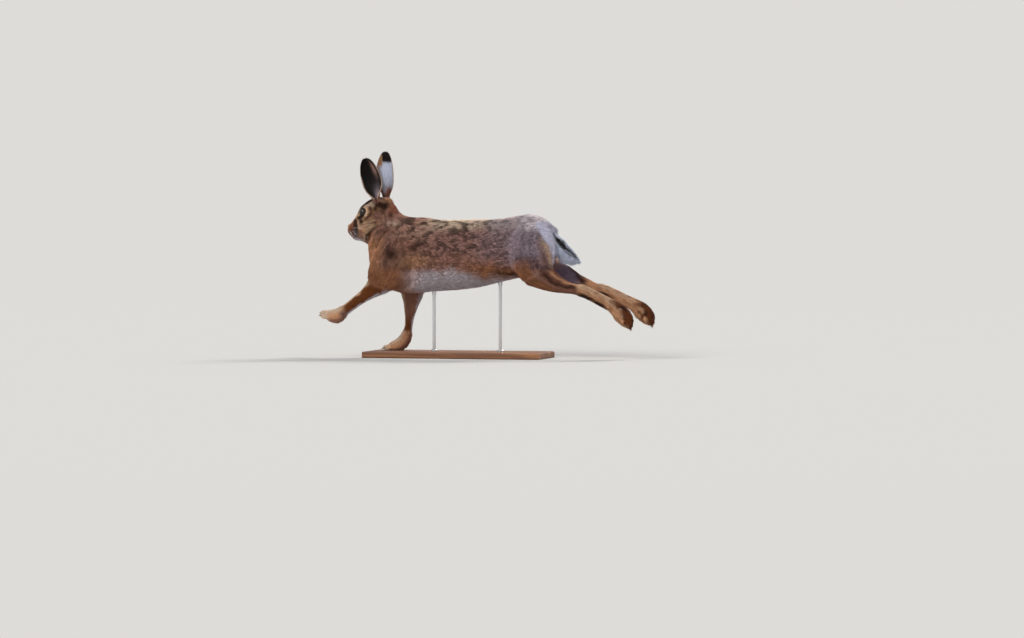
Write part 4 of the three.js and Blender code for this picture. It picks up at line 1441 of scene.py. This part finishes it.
# %% Coat of the ears
def ear_coat(share, turn, face, side):
    # The back's grey-white is tinted blue as painted skylight
    coat = Coat(len(share), "under_white", "snow", 0.15)
    patch = soft_noise(np.stack([share * 60, turn * 14, face], 1), 7, 6) - 0.5
    toward_nose = -turn if side == "left" else turn
    leaf = np.stack([share, toward_nose, 0 * turn], 1)
    inside = (face < 0).astype(float)
    tip_line = 0.77 + 0.16 * ramp(0.0, 0.55, toward_nose + 0.3 * patch)
    lit = spot(leaf, (0.75, -0.52, 0), (0.17, 0.2, 1))
    low = spot(leaf, (0.1, -0.35, 0), (0.2, 0.4, 1))
    rim = ramp(0.88, 0.96, np.abs(turn)) * ramp(0.9, 0.74, share + 0.2 * (toward_nose > 0))
    paint = coat.layer
    paint(ramp(0.36, 0.14, share + 0.15 * patch), "under_brown", "rust", 0.4)
    paint(ramp(0.1, 0.9, toward_nose + 0.4 * patch) * 0.8, "under_brown", "brown", 0.45)
    paint(ramp(-0.05, 0.35, toward_nose) * ramp(0.66, 0.76, share), "under_brown", "tan", 0.3)
    paint(ramp(-0.02, 0.03, share - tip_line + 0.06 * patch), "black", "black", 0.05)
    # Painted shade: the inside of the ear is painted near black
    paint(inside, "ear_inside_shade", "ear_inside_shade", 0.2)
    paint(inside * lit * 1.2, "under_grey", "temple", 0.2)
    paint(inside * low * 1.2, "under_grey", "mauve", 0.3)
    paint(rim, "under_white", "pale_tan", 0.1)
    paint(ramp(0.13, 0.05, share), "under_brown", "brown", 0.3)
    return coat


ear_coats = {side: ear_coat(*leaf[2:5], side) for side, leaf in ear_parts.items()}
print("ears painted", list(ear_coats))

# %% [markdown]
# ## The skin object
# The skin, both ears and the lids become one object, which stands for all the flesh nodes.
# Its own colour is a mix of under-colour and main colour. It could be several objects, but
# one skin shows no seam where they meet.

# %% Skin object
SKIN_MIX, EAR_MIX = 0.45, 0.6
# Millimetres of the lie for each of the body's own. Below 1 they pull the hairs' noise long
LIE_STRETCH = 0.16
EAR_LIE = (17, 24, 5)


def mixed(coat, share):
    return coat.under + share * (coat.main - coat.under)


by_corners = {3: [], 4: []}
for face in skin_mesh.polygons:
    by_corners[len(face.vertices)].append(face.vertices[:])
parts = [(
    points, [np.array(faces, np.int32).reshape(-1, size) for size, faces in by_corners.items()],
    mixed(coat, SKIN_MIX), np.stack([distance * LIE_STRETCH, sideways, height], 1),
)]
for side, (leaf, quads, share, turn, face, _) in ear_parts.items():
    lie = np.stack([share, turn, face], 1) * EAR_LIE
    parts.append((leaf, [quads], mixed(ear_coats[side], EAR_MIX), lie))
parts += [(rim, [quads], tone, rim) for rim, quads, tone in rims]
starts = np.cumsum([0] + [len(part[0]) for part in parts])
skin = piece(
    "hare_skin", np.vstack([part[0] for part in parts]),
    [faces + start for part, start in zip(parts, starts) for faces in part[1]],
    np.vstack([part[2] for part in parts]), skin_material,
    lie=np.vstack([part[3] for part in parts]),
)
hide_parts(*FLESH)
print("skin faces", len(skin.data.polygons))

# %% [markdown]
# ## Eyes
# A hare's eye is large, dark amber and wet. The eyeball is a ball with its pole at the
# pupil, so rings of points make the round pupil and the dark border of the iris. The clear
# front of a real eye bulges, so the ball does too, a little.

# %% Eyes
EYE_RINGS = 48
EYE_TURNS = 64
POLE_GAP = 0.02
EYE_INSET = 0.15
BULGE, BULGE_REACH = 0.5, 0.5
PUPIL_EDGE = (0.44, 0.49)
IRIS_EDGE = (0.91, 0.76)
eye_material, eye_tree, eye_shader = material("wet_eye", {
    "Roughness": 0.06, "Specular IOR Level": 0.42,
})
eye_tone = add_node(eye_tree, "Attribute", attribute_name="tone")
wire(eye_tree, (eye_tone, "Color", eye_shader, "Base Color"))
pupil_black = PAINT["black"] * 0.5
lean, turn = (grid.ravel() for grid in np.meshgrid(
    np.linspace(POLE_GAP, math.pi - POLE_GAP, EYE_RINGS),
    np.linspace(0, 2 * math.pi, EYE_TURNS, endpoint=False), indexing="ij",
))
number = np.arange(EYE_RINGS * EYE_TURNS).reshape(EYE_RINGS, EYE_TURNS)
after = np.roll(number, -1, axis=1)
front = np.stack([number[0], after[0], np.full(EYE_TURNS, number.size)], -1)
rear = np.stack([after[-1], number[-1], np.full(EYE_TURNS, number.size + 1)], -1)
amber = PAINT["iris"] * (0.75 + 0.25 * np.sin(turn * 23) * np.sin(turn * 7 + 1))[:, None]
iris = ramp(*PUPIL_EDGE, lean) * ramp(*IRIS_EDGE, lean)
tone = pupil_black + (amber - pupil_black) * iris[:, None]
tone = np.vstack([tone, tone[:1], tone[-1:]])
for side, name in ((-1, "eye_left"), (1, "eye_right")):
    centre, back, up, outwards = eye_frame(side)
    way = np.outer(np.cos(lean), outwards)
    way += np.outer(np.sin(lean) * np.cos(turn), back) + np.outer(np.sin(lean) * np.sin(turn), up)
    bulge = BULGE * np.exp(-((lean / BULGE_REACH) ** 2))
    ball = centre + way * (EYE_RADIUS - EYE_INSET + bulge)[:, None]
    pole_reach = (EYE_RADIUS - EYE_INSET + BULGE, EYE_INSET - EYE_RADIUS)
    poles = centre + np.outer(pole_reach, outwards)
    faces = [ring_quads(number), front, rear]
    eye = piece(name + "_ball", np.vstack([ball, poles]), faces, tone, eye_material)
    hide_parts(name)
print("eyes ready")

# %% [markdown]
# ## Roots of the tufts
# Tufts grow where the skin's triangles are, as many as their area and the coat's density
# ask. The draws step evenly through the mesh with a little chance, so there are no bald
# gaps. Each root takes its place, normal, lie and paints from its triangle's corners.


# %% Roots
class Surface:
    """Triangles with everything that a tuft needs to know at its root."""

    def __init__(self, points, faces, normals, flow, coat, place, fur):
        self.points, self.faces, self.normals, self.flow = points, faces, normals, flow
        self.coat, self.place, self.fur = coat, place, fur
        a, b, c = (points[faces[:, k]] for k in range(3))
        self.area = np.linalg.norm(np.cross(b - a, c - a), axis=1) / 2

    def roots(self, density, seed):
        """Roots at `density` a square millimetre, given for each point of the surface."""
        chance = np.random.default_rng(seed)
        weight = self.area * density[self.faces].mean(1)
        total = np.cumsum(weight)
        amount = int(total[-1])
        draw = (np.arange(amount) + chance.random(amount)) / amount * total[-1]
        face = np.searchsorted(total, draw).clip(0, len(total) - 1)
        share = chance.random((amount, 2))
        share = np.where(share.sum(1, keepdims=True) > 1, 1 - share, share)
        share = np.concatenate([1 - share.sum(1, keepdims=True), share], 1)
        corners = self.faces[face]

        def mix(values):
            return np.einsum("pk,pk...->p...", share, values[corners])

        coat, normal, lie = self.coat, unit(mix(self.normals)), mix(self.flow)
        return {
            "point": mix(self.points), "normal": normal,
            "flow": unit(lie - normal * (lie * normal).sum(1)[:, None]),
            "under": mix(coat.under), "main": mix(coat.main), "grizzle": mix(coat.grizzle),
            "place": mix(self.place), "fur": mix(self.fur), "chance": chance,
        }


skin_mesh.calc_loop_triangles()
triangles = read(skin_mesh.loop_triangles, "vertices", 3, np.int32)
around = np.arctan2(sideways, height) / (2 * math.pi)
# Length and width of a tuft in millimetres, and its lift above the skin in degrees
FUR = {
    "head": (6.8, 0.56, 12), "neck": (12, 0.7, 12), "chest": (18, 1.3, 15), "loin": (19, 1.3, 15),
    "rump": (17, 1.25, 14), "tail": (20, 1.1, 19), "upper_arm": (12, 1.0, 13),
    "forearm": (6.5, 0.7, 12), "fore_paw": (5.5, 0.65, 15), "thigh": (14, 1.15, 13),
    "shin": (7.5, 0.8, 12), "hind_foot": (7, 0.75, 15),
}
FUR_ROUNDS = 110
NOSE_FUR = (3.0, 0.42, 14)
EAR_ROOT_FUR = (5.0, 0, 6)
SHORT_HEAD_ON, SHORT_TAIL_ROOT, SHORT_TAIL_TIP = 0.55, 0.5, 0.35
fur = np.array([FUR[plain(name)] for name in node_names], float)[part_of]
fur = relax(fur, FUR_ROUNDS)
nose_share = ramp(-186, -222, points[:, 0])[:, None] * belongs(("head",), 4)[:, None]
fur = fur * (1 - nose_share) + np.array(NOSE_FUR) * nose_share
fur += ear_root[:, None] * EAR_ROOT_FUR
# Hair that meets the surface head-on, as at the ends of the toes, is kept short
fur[:, 0] *= 1 - SHORT_HEAD_ON * head_on
fur[:, 0] *= 1 - SHORT_TAIL_ROOT * spot(points, (266, 0, 288), (16, 40, 18))
fur[:, 0] *= 1 - SHORT_TAIL_TIP * ramp(310, 345, points[:, 0]) * belongs(("tail",), 10)
body_surface = Surface(
    points, triangles, normals, flow, coat, np.stack([distance, around], 1), fur
)
print("skin area", round(float(body_surface.area.sum()) / MM**2, 3), "square metres")

# %% [markdown]
# ## Growing a piece of coat
# A tuft is a thin closed spike with three sides. It leaves the skin at a low angle, bends
# down towards the skin and ends in a point. Neighbours within a few millimetres lean
# together into a lock, as guard hairs do. Some locks end cream and some black, and that
# makes the grizzle. Very short fur has no middle ring: straight spikes are enough.
#
# The map named OFBake gives each tuft a small patch at its root's place on the skin, laid
# out by the distance along the axis and the angle round it.


# %% Growing
FEWER = 1.0
# Each range is the least value and how much chance can add to it
SIZE_RANGE, LIFT_RANGE, SHADE_RANGE = (0.75, 0.5), (0.7, 0.6), (0.86, 0.28)
# How strongly tufts turn aside, each on its own and in waves, and locks share their banding
SWAY, WAVE = 0.16, 0.55
PLACE_BANDING, OWN_BANDING, LOCK_BANDING = 1.5, 0.8, 0.6
CREAM_FROM = (0.38, 0.66)
CREAM_TIP, BLACK_TIP, ROOT_SHADE = 1.75, 0.26, 0.85
AROUND_RADIUS = 55
TUFT_FLECK = (9.5, 5.5)
# A lock's size in millimetres, and how many such sizes a tip is drawn at most
LOCK_SIZE, LOCK_PULL = 8.0, 1.5
ROOT_DEPTH = 0.6
TUFT_CORNERS = np.array([0.0, 2.1, 4.2])
TUFT_FLATNESS = 0.45
ROOT_WIDTH, FULL_WIDTH = 0.42, 0.5
MIDDLE_BEND, TIP_BEND, MIDDLE_PULL = 1.35, 0.8, 0.45
BAKE_PATCH, BAKE_MARGIN = 0.003, 0.01
total_triangles = 0


def between(chance, count, low, spread):
    """A column of random numbers from `low` to `low + spread`."""
    return (low + spread * chance.random(count))[:, None]


def drawn_together(root, surface, density, lock):
    """How far the middle tuft of its lock draws each tip, and which tuft that is."""
    point, chance, normal = root["point"], root["chance"], root["normal"]
    count = len(point)
    spacing = LOCK_SIZE**2 * count / (surface.area @ (density[surface.faces].mean(1) > 0))
    chosen = chance.permutation(count)[:int(count / max(spacing, 1)) + 1]
    tree = KDTree(len(chosen))
    for number, index in enumerate(chosen):
        tree.insert(point[index], number)
    tree.balance()
    nearest = chosen[np.array([tree.find(p)[1] for p in point])]
    apart = point[nearest] - point
    reach = np.linalg.norm(apart, axis=1).clip(1e-6)
    pull = apart * lock * np.minimum(1, LOCK_SIZE * LOCK_PULL / reach)[:, None]
    return pull - normal * (pull * normal).sum(1)[:, None], nearest


def grow(name, surface, density, seed, lock=0.0, bend=True):
    global total_triangles
    root = surface.roots(density * FEWER, seed)
    chance, point, normal, way = root["chance"], root["point"], root["normal"], root["flow"]
    count = len(point)
    length, width, lift = root["fur"].T[:, :, None]
    beside = np.cross(normal, way)
    reach = length * between(chance, count, *SIZE_RANGE)
    wide = width * between(chance, count, *SIZE_RANGE)
    sway = SWAY * chance.normal(size=count)[:, None]
    rise = np.radians(lift * between(chance, count, *LIFT_RANGE))
    cell = root["place"] * (1, 2 * math.pi * AROUND_RADIUS) / TUFT_FLECK
    flecks = soft_noise(np.column_stack([cell, np.zeros(count)]), 1, 9)
    wave = soft_noise(np.column_stack([cell * 0.6, np.ones(count)]), 1, 10) - 0.5
    way = unit(way + beside * wave[:, None] * WAVE)
    way = unit(way + beside * sway)
    banding = chance.random(count)
    pull = np.zeros((count, 3))
    if lock:
        pull, nearest = drawn_together(root, surface, density, lock)
        banding = (1 - LOCK_BANDING) * banding + LOCK_BANDING * banding[nearest]
    banding = 0.5 + PLACE_BANDING * (flecks - 0.5) + OWN_BANDING * (banding - 0.5)

    # Colours at the root, in the middle and at the tip
    bright = ramp(*CREAM_FROM, banding)[:, None]
    light = BLACK_TIP + (CREAM_TIP - BLACK_TIP) * bright
    strength = root["grizzle"][:, None]
    shade = between(chance, count, *SHADE_RANGE)
    under, main = root["under"], root["main"]
    plainness = 0.2 + 0.3 * (1 - strength)
    main_share = 0.65 + strength * (0.75 * bright - 0.42)
    base_tone = (under + (main - under) * plainness) * ROOT_SHADE * shade
    mid_tone = (under + (main - under) * main_share) * shade
    tip_tone = main * (1 + strength * (light - 1)) * shade

    # Points: a ring at the root, for long fur a ring in the middle, and the tip
    rise = rise * (0.8 + 0.35 * strength * bright)
    bent = rise * MIDDLE_BEND
    middle = point + reach * 0.5 * (way * np.cos(bent) + normal * np.sin(bent)) + pull * MIDDLE_PULL
    tip = point + reach * (way * np.cos(rise) + normal * np.sin(rise) * TIP_BEND) + pull

    def ring(centre, scale):
        spread = np.sin(TUFT_CORNERS)[:, None] * beside[:, None] * wide[:, None] * scale
        over = np.cos(TUFT_CORNERS)[:, None] * normal[:, None] * wide[:, None] * scale
        return centre[:, None] + spread + over * TUFT_FLATNESS

    root_point = point - normal * ROOT_DEPTH
    if bend:
        rings = [ring(root_point, ROOT_WIDTH), ring(middle, FULL_WIDTH)]
        ring_tones = [base_tone, mid_tone]
    else:
        rings, ring_tones = [ring(root_point, FULL_WIDTH)], [mid_tone]
    shape = np.concatenate([*rings, tip[:, None]], 1)
    ring_tones = [np.repeat(tone[:, None], 3, 1) for tone in ring_tones]
    tones = np.concatenate([*ring_tones, tip_tone[:, None]], 1)
    end = 3 * len(rings)
    pattern = [(0, 2, 1)]
    for k, after in ((0, 1), (1, 2), (2, 0)):
        if bend:
            pattern += [(k, after, 3 + after), (k, 3 + after, 3 + k)]
        pattern.append((end - 3 + k, end - 3 + after, end))
    faces = (np.arange(count)[:, None, None] * (end + 1) + np.array(pattern)[None]).reshape(-1, 3)

    # The map: a small patch for each tuft at its root's place on the skin
    climb = np.append(np.repeat(np.arange(len(rings)) / len(rings), 3), 1)
    across = np.append(np.tile((-0.5, 0.5, 0), len(rings)), 0)
    low, high = root["place"].min(0), root["place"].max(0)
    place = BAKE_MARGIN + (1 - 2 * BAKE_MARGIN) * (root["place"] - low) / (high - low)
    bake = place[:, None] + BAKE_PATCH * (np.stack([climb, across], 1)[None] - (0.5, 0))
    piece(
        name, shape.reshape(-1, 3), faces, tones.reshape(-1, 3), tuft_material,
        bake=bake.reshape(-1, 2),
    )
    total_triangles += len(faces)
    print(name, len(faces), "triangles")


print("density of the coat", FEWER)

# %% [markdown]
# ## The coat, piece by piece
# The coat is cut into pieces where the solids meet, left and right apart, so that no piece
# gets too heavy. Long fur is thin on the skin and drawn into locks. The short fur of the
# legs and feet stands denser and has straight tufts.

# %% Coat of the body
SIDES = ((-1, "left"), (1, "right"))
PIECE_BORDER = 12
TAIL_DENSITY, HEAD_DENSITY, NOSE_DENSITY = 0.8, 1.6, 0.9
# Long fur: name, parts of the body, tufts on a square millimetre, how far tips lean together
LONG_COAT = (
    ("neck", ("neck",), 0.78, 0.3), ("chest", ("chest",), 0.41, 0.42),
    ("loin", ("loin",), 0.41, 0.42), ("rump", ("rump",), 0.5, 0.32),
    ("shoulder", ("upper_arm",), 0.54, 0.32), ("thigh", ("thigh",), 0.5, 0.32),
)
# Short fur: name, parts of the body, tufts on a square millimetre, slot
SHORT_COAT = (
    ("foreleg", ("forearm",), 0.8, "leg_coat"), ("fore_paw", ("fore_paw",), 1.1, "foot_coat"),
    ("hind_leg", ("shin",), 0.75, "leg_coat"), ("hind_foot", ("hind_foot",), 0.78, "foot_coat"),
)


def side_mask(names, side):
    return belongs(names, PIECE_BORDER) * (points[:, 1] * side > 0)


for number, (name, parts, density, lock) in enumerate(LONG_COAT):
    for side, word in SIDES:
        grow(
            f"coat_{name}_{word}", body_surface, density * side_mask(parts, side),
            seed=20 + 2 * number + (side > 0), lock=lock,
        )
for number, (name, parts, density, slot) in enumerate(SHORT_COAT):
    for side, word in SIDES:
        grow(
            f"coat_{name}_{word}", body_surface, density * side_mask(parts, side),
            seed=50 + 2 * number + (side > 0), bend=False,
        )
tail_density = TAIL_DENSITY * belongs(("tail",), 8)
grow("coat_tail", body_surface, tail_density, 60, lock=0.3)
print("body coat triangles", total_triangles)

# %% [markdown]
# ## The coat of head and ears
# The fur of the face is the shortest and gets denser and shorter still towards the nose.
# The lids and the eyes between them stay bare. An ear has thin fur inside, more on its back
# and a fringe along its rims.

# %% Coat of head and ears
OPEN_LIDS = (1.02, 1.10)
EAR_FUR = (4.2, 0.5, 9.0)
EAR_LENGTH = 110
BACK_DENSITY, INNER_DENSITY, FRINGE_DENSITY = 0.9, 0.35, 2.5
FRINGE = (0.9, 0.98)
open_face = belongs(("head",), PIECE_BORDER)
for side, _ in SIDES:
    open_face *= ramp(*OPEN_LIDS, beside_eye(points, side))
for side, word in SIDES:
    half = open_face * (points[:, 1] * side > 0)
    density = half * (HEAD_DENSITY + NOSE_DENSITY * nose_share[:, 0])
    grow("coat_head_" + word, body_surface, density, 62 + side, bend=False)
for side, word in SIDES:
    leaf, quads, share, turn, face, lengthwise = ear_parts[word]
    faces = np.vstack([quads[:, :3], quads[:, [0, 2, 3]]])
    a, b, c = (leaf[faces[:, k]] for k in range(3))
    slope = np.cross(b - a, c - a)
    ear_normals = np.zeros_like(leaf)
    for k in range(3):
        np.add.at(ear_normals, faces[:, k], slope)
    ear_place = np.stack([share * EAR_LENGTH, turn * face / 4 + 0.5], 1)
    surface = Surface(
        leaf, faces, unit(ear_normals), lengthwise, ear_coats[word], ear_place,
        np.tile(EAR_FUR, (len(leaf), 1)),
    )
    cover = np.where(face > 0, BACK_DENSITY, INNER_DENSITY)
    cover = cover + FRINGE_DENSITY * ramp(*FRINGE, np.abs(turn))
    grow("coat_ear_" + word, surface, cover, 70 + side, bend=False)
print("coat triangles", total_triangles)

# %% [markdown]
# ## Claws
# A hare's claws are long, dark and nearly straight. Each is a cone of rings that thins to
# a blunt point and bends a little, set at the end of each toe.

# %% Claws
CLAW_LENGTH = 6.0
CLAW_RADIUS = 1.25
CLAW_RINGS = 9
CLAW_SIDES = 8
CLAW_BEND = 0.2
CLAW_ROOT = 0.78
CLAW_SPLAY = 0.06
CLAW_TAPER = 0.88
# A direction that no claw, whisker or fitting runs along, to turn the rings from
ASIDE = (0.13, 0.3, 0.95)


def tube(path, radii, sides):
    """Points and faces of a closed round tube along a path, pointed or flat at its ends."""
    path = np.array(path, float)
    ahead = unit(np.gradient(path, axis=0))
    beside = unit(np.cross(ahead, ASIDE))
    over = np.cross(beside, ahead)
    ring = np.linspace(0, 2 * math.pi, sides, endpoint=False)[:, None]
    wall = path[:, None] + np.asarray(radii)[:, None, None] * (
        np.cos(ring) * beside[:, None] + np.sin(ring) * over[:, None]
    )
    number = np.arange(len(path) * sides).reshape(len(path), sides)
    after = np.roll(number, -1, axis=1)
    quads = ring_quads(number)
    start_cap = np.stack([after[0], number[0], np.full(sides, number.size)], -1)
    end_cap = np.stack([number[-1], after[-1], np.full(sides, number.size + 1)], -1)
    points = np.vstack([wall.reshape(-1, 3), path[:1], path[-1:]])
    return points, np.vstack([quads[:, :3], quads[:, [0, 2, 3]], start_cap, end_cap])


def join(tubes):
    """One array of points and one of faces from many tubes."""
    starts = np.cumsum([0] + [len(tube_points) for tube_points, _ in tubes])
    faces = [tube_faces + start for (_, tube_faces), start in zip(tubes, starts)]
    return np.vstack([tube_points for tube_points, _ in tubes]), np.vstack(faces)


claws = []
share = np.linspace(0, 1, CLAW_RINGS)
for foot in FEET.values():
    way, sole = foot_ways(foot)
    length = foot["toe"][0]
    for step in TOE_STEPS:
        root = toe_place(foot, step) + way * length * CLAW_ROOT + sole * foot["raise"]
        splay = unit(way + np.array((0, CLAW_SPLAY * step, 0)))
        path = root + np.outer(share * CLAW_LENGTH, splay)
        path += np.outer(share**2 * CLAW_LENGTH * CLAW_BEND, sole)
        claws.append(tube(path, CLAW_RADIUS * (1 - share**1.6 * CLAW_TAPER), CLAW_SIDES))
claw_points, claw_faces = join(claws)
horn_material, _, _ = material("claw_horn", {"Base Color": (*PAINT["horn"], 1), "Roughness": 0.35})
tone = np.tile(PAINT["horn"], (len(claw_points), 1))
piece("claws", claw_points, claw_faces, tone, horn_material)
print("claws", len(claws))

# %% [markdown]
# ## Whiskers
# The whiskers stand in rows on the swollen upper lip and sweep outwards and back. They are
# thin tapered tubes with few sides, because hair objects would not be exported.

# %% Whiskers
WHISKER_ROWS = 4
WHISKERS_IN_ROW = 5
WHISKER_RADIUS = 0.13
WHISKER_RINGS, WHISKER_SIDES = 10, 5
WHISKER_TAPER = 0.85
PALE_WHISKERS = 0.6
chance = np.random.default_rng(90)
whiskers, whisker_tones = [], []
share = np.linspace(0, 1, WHISKER_RINGS)
for side in (-1, 1):
    for row in range(WHISKER_ROWS):
        for step in range(WHISKERS_IN_ROW):
            root = np.array((
                -225 + 2.6 * step, side * (9.5 + 1.1 * step), 292 - 2.6 * row + 0.6 * step,
            ))
            length = 34 + 9 * step + 8 * chance.random()
            lean = np.array((
                -0.05 + 0.16 * step + 0.1 * chance.normal(), side * 0.9,
                0.12 - 0.2 * row + 0.1 * chance.normal(),
            ))
            path = root + np.outer(share * length, unit(lean))
            path += np.outer(share**2 * length, (0.28, -0.1 * side, -0.18))
            radii = WHISKER_RADIUS * (1 - WHISKER_TAPER * share)
            whiskers.append(tube(path, radii, WHISKER_SIDES))
            colour = PAINT["white"] if chance.random() < PALE_WHISKERS else PAINT["dark_brown"]
            whisker_tones.append(np.tile(colour, (len(whiskers[-1][0]), 1)))
whisker_points, whisker_faces = join(whiskers)
whisker_material = painted("whisker_hair", 0.4)
piece("whiskers", whisker_points, whisker_faces, np.vstack(whisker_tones), whisker_material)
print("whiskers", len(whiskers))

# %% [markdown]
# ## Wood and steel
# The board is oiled hardwood, and its grain runs lengthwise: noise pulled long draws the
# growth rings and gives them a slight relief. The rods are brushed steel, with a relief so
# fine that it only breaks up the gloss.

# %% Wood and steel
GRAIN_PULL = (3.5, 46, 46)
WOOD_COLOURS = ((0.32, "4a2b17"), (0.5, "6f4427"), (0.68, "8f5f3a"))
STEEL = (0.62, 0.63, 0.64)
wood_material, wood_tree, wood_shader = material("oiled_wood", {"Roughness": 0.58})
wood_place = add_node(wood_tree, "TexCoord")
stretch = add_node(wood_tree, "Mapping", {"Scale": GRAIN_PULL})
rings = add_node(wood_tree, "TexNoise", {"Scale": 1.0, "Detail": 5, "Distortion": 1.2})
colours = add_node(wood_tree, "ValToRGB")
colours.color_ramp.elements.new(0.5)
for element, (place, code) in zip(colours.color_ramp.elements, WOOD_COLOURS):
    element.position = place
    element.color = (*linear(code), 1)
grain = add_node(wood_tree, "Bump", {"Strength": 0.15, "Distance": 0.0005})
wire(
    wood_tree,
    (wood_place, "Object", stretch, "Vector"), (stretch, "Vector", rings, "Vector"),
    (rings, "Fac", colours, "Fac"), (colours, "Color", wood_shader, "Base Color"),
    (rings, "Fac", grain, "Height"), (grain, "Normal", wood_shader, "Normal"),
)
steel_material, steel_tree, steel_shader = material("brushed_steel", {
    "Base Color": (*STEEL, 1), "Roughness": 0.34, "Metallic": 1.0,
})
steel_place = add_node(steel_tree, "TexCoord")
brush = add_node(steel_tree, "TexNoise", {"Scale": 900})
relief = add_node(steel_tree, "Bump", {"Strength": 0.08, "Distance": 0.0003})
wire(
    steel_tree,
    (steel_place, "Object", brush, "Vector"), (brush, "Fac", relief, "Height"),
    (relief, "Normal", steel_shader, "Normal"),
)
print("wood and steel ready")

# %% [markdown]
# ## Display stand
# The board and the rods are the frame's own pieces and only get their materials. A small
# collar closes each rod's hole in the board, and a sleeve joins its top to the body under
# the coat. Both are turned shapes: a radius at each height, swept round the rod.

# %% Display stand
STAND_LOOKS = {
    "stand_base": wood_material, "stand_rod_front": steel_material, "stand_rod_back": steel_material,
}
# Height and radius of each turned edge: over the board, and from the top of the rod
COLLAR = ((0.2, 7.5), (3.4, 7.5), (4.4, 6.6), (4.4, 4.2))
SLEEVE = ((-7, 4.1), (-7, 5.2), (9, 5.2))
COLLAR_SIDES, SLEEVE_SIDES = 40, 32
FITTING_GREY = 0.6
fittings = []
for name, look in STAND_LOOKS.items():
    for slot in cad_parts[name].material_slots:
        slot.material = look
    if name == "stand_base":
        continue
    low, high = (millimetres(corner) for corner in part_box(name))
    x = (low[0] + high[0]) / 2
    for outline, level, sides in ((COLLAR, 0, COLLAR_SIDES), (SLEEVE, high[2], SLEEVE_SIDES)):
        path = [(x, 0.0, level + rise) for rise, _ in outline]
        fittings.append(tube(path, [radius for _, radius in outline], sides))
fitting_points, fitting_faces = join(fittings)
tone = np.full((len(fitting_points), 3), FITTING_GREY)
piece(
    "stand_fittings", fitting_points, fitting_faces, tone, steel_material,
    smooth=False,
)
print("stand dressed")
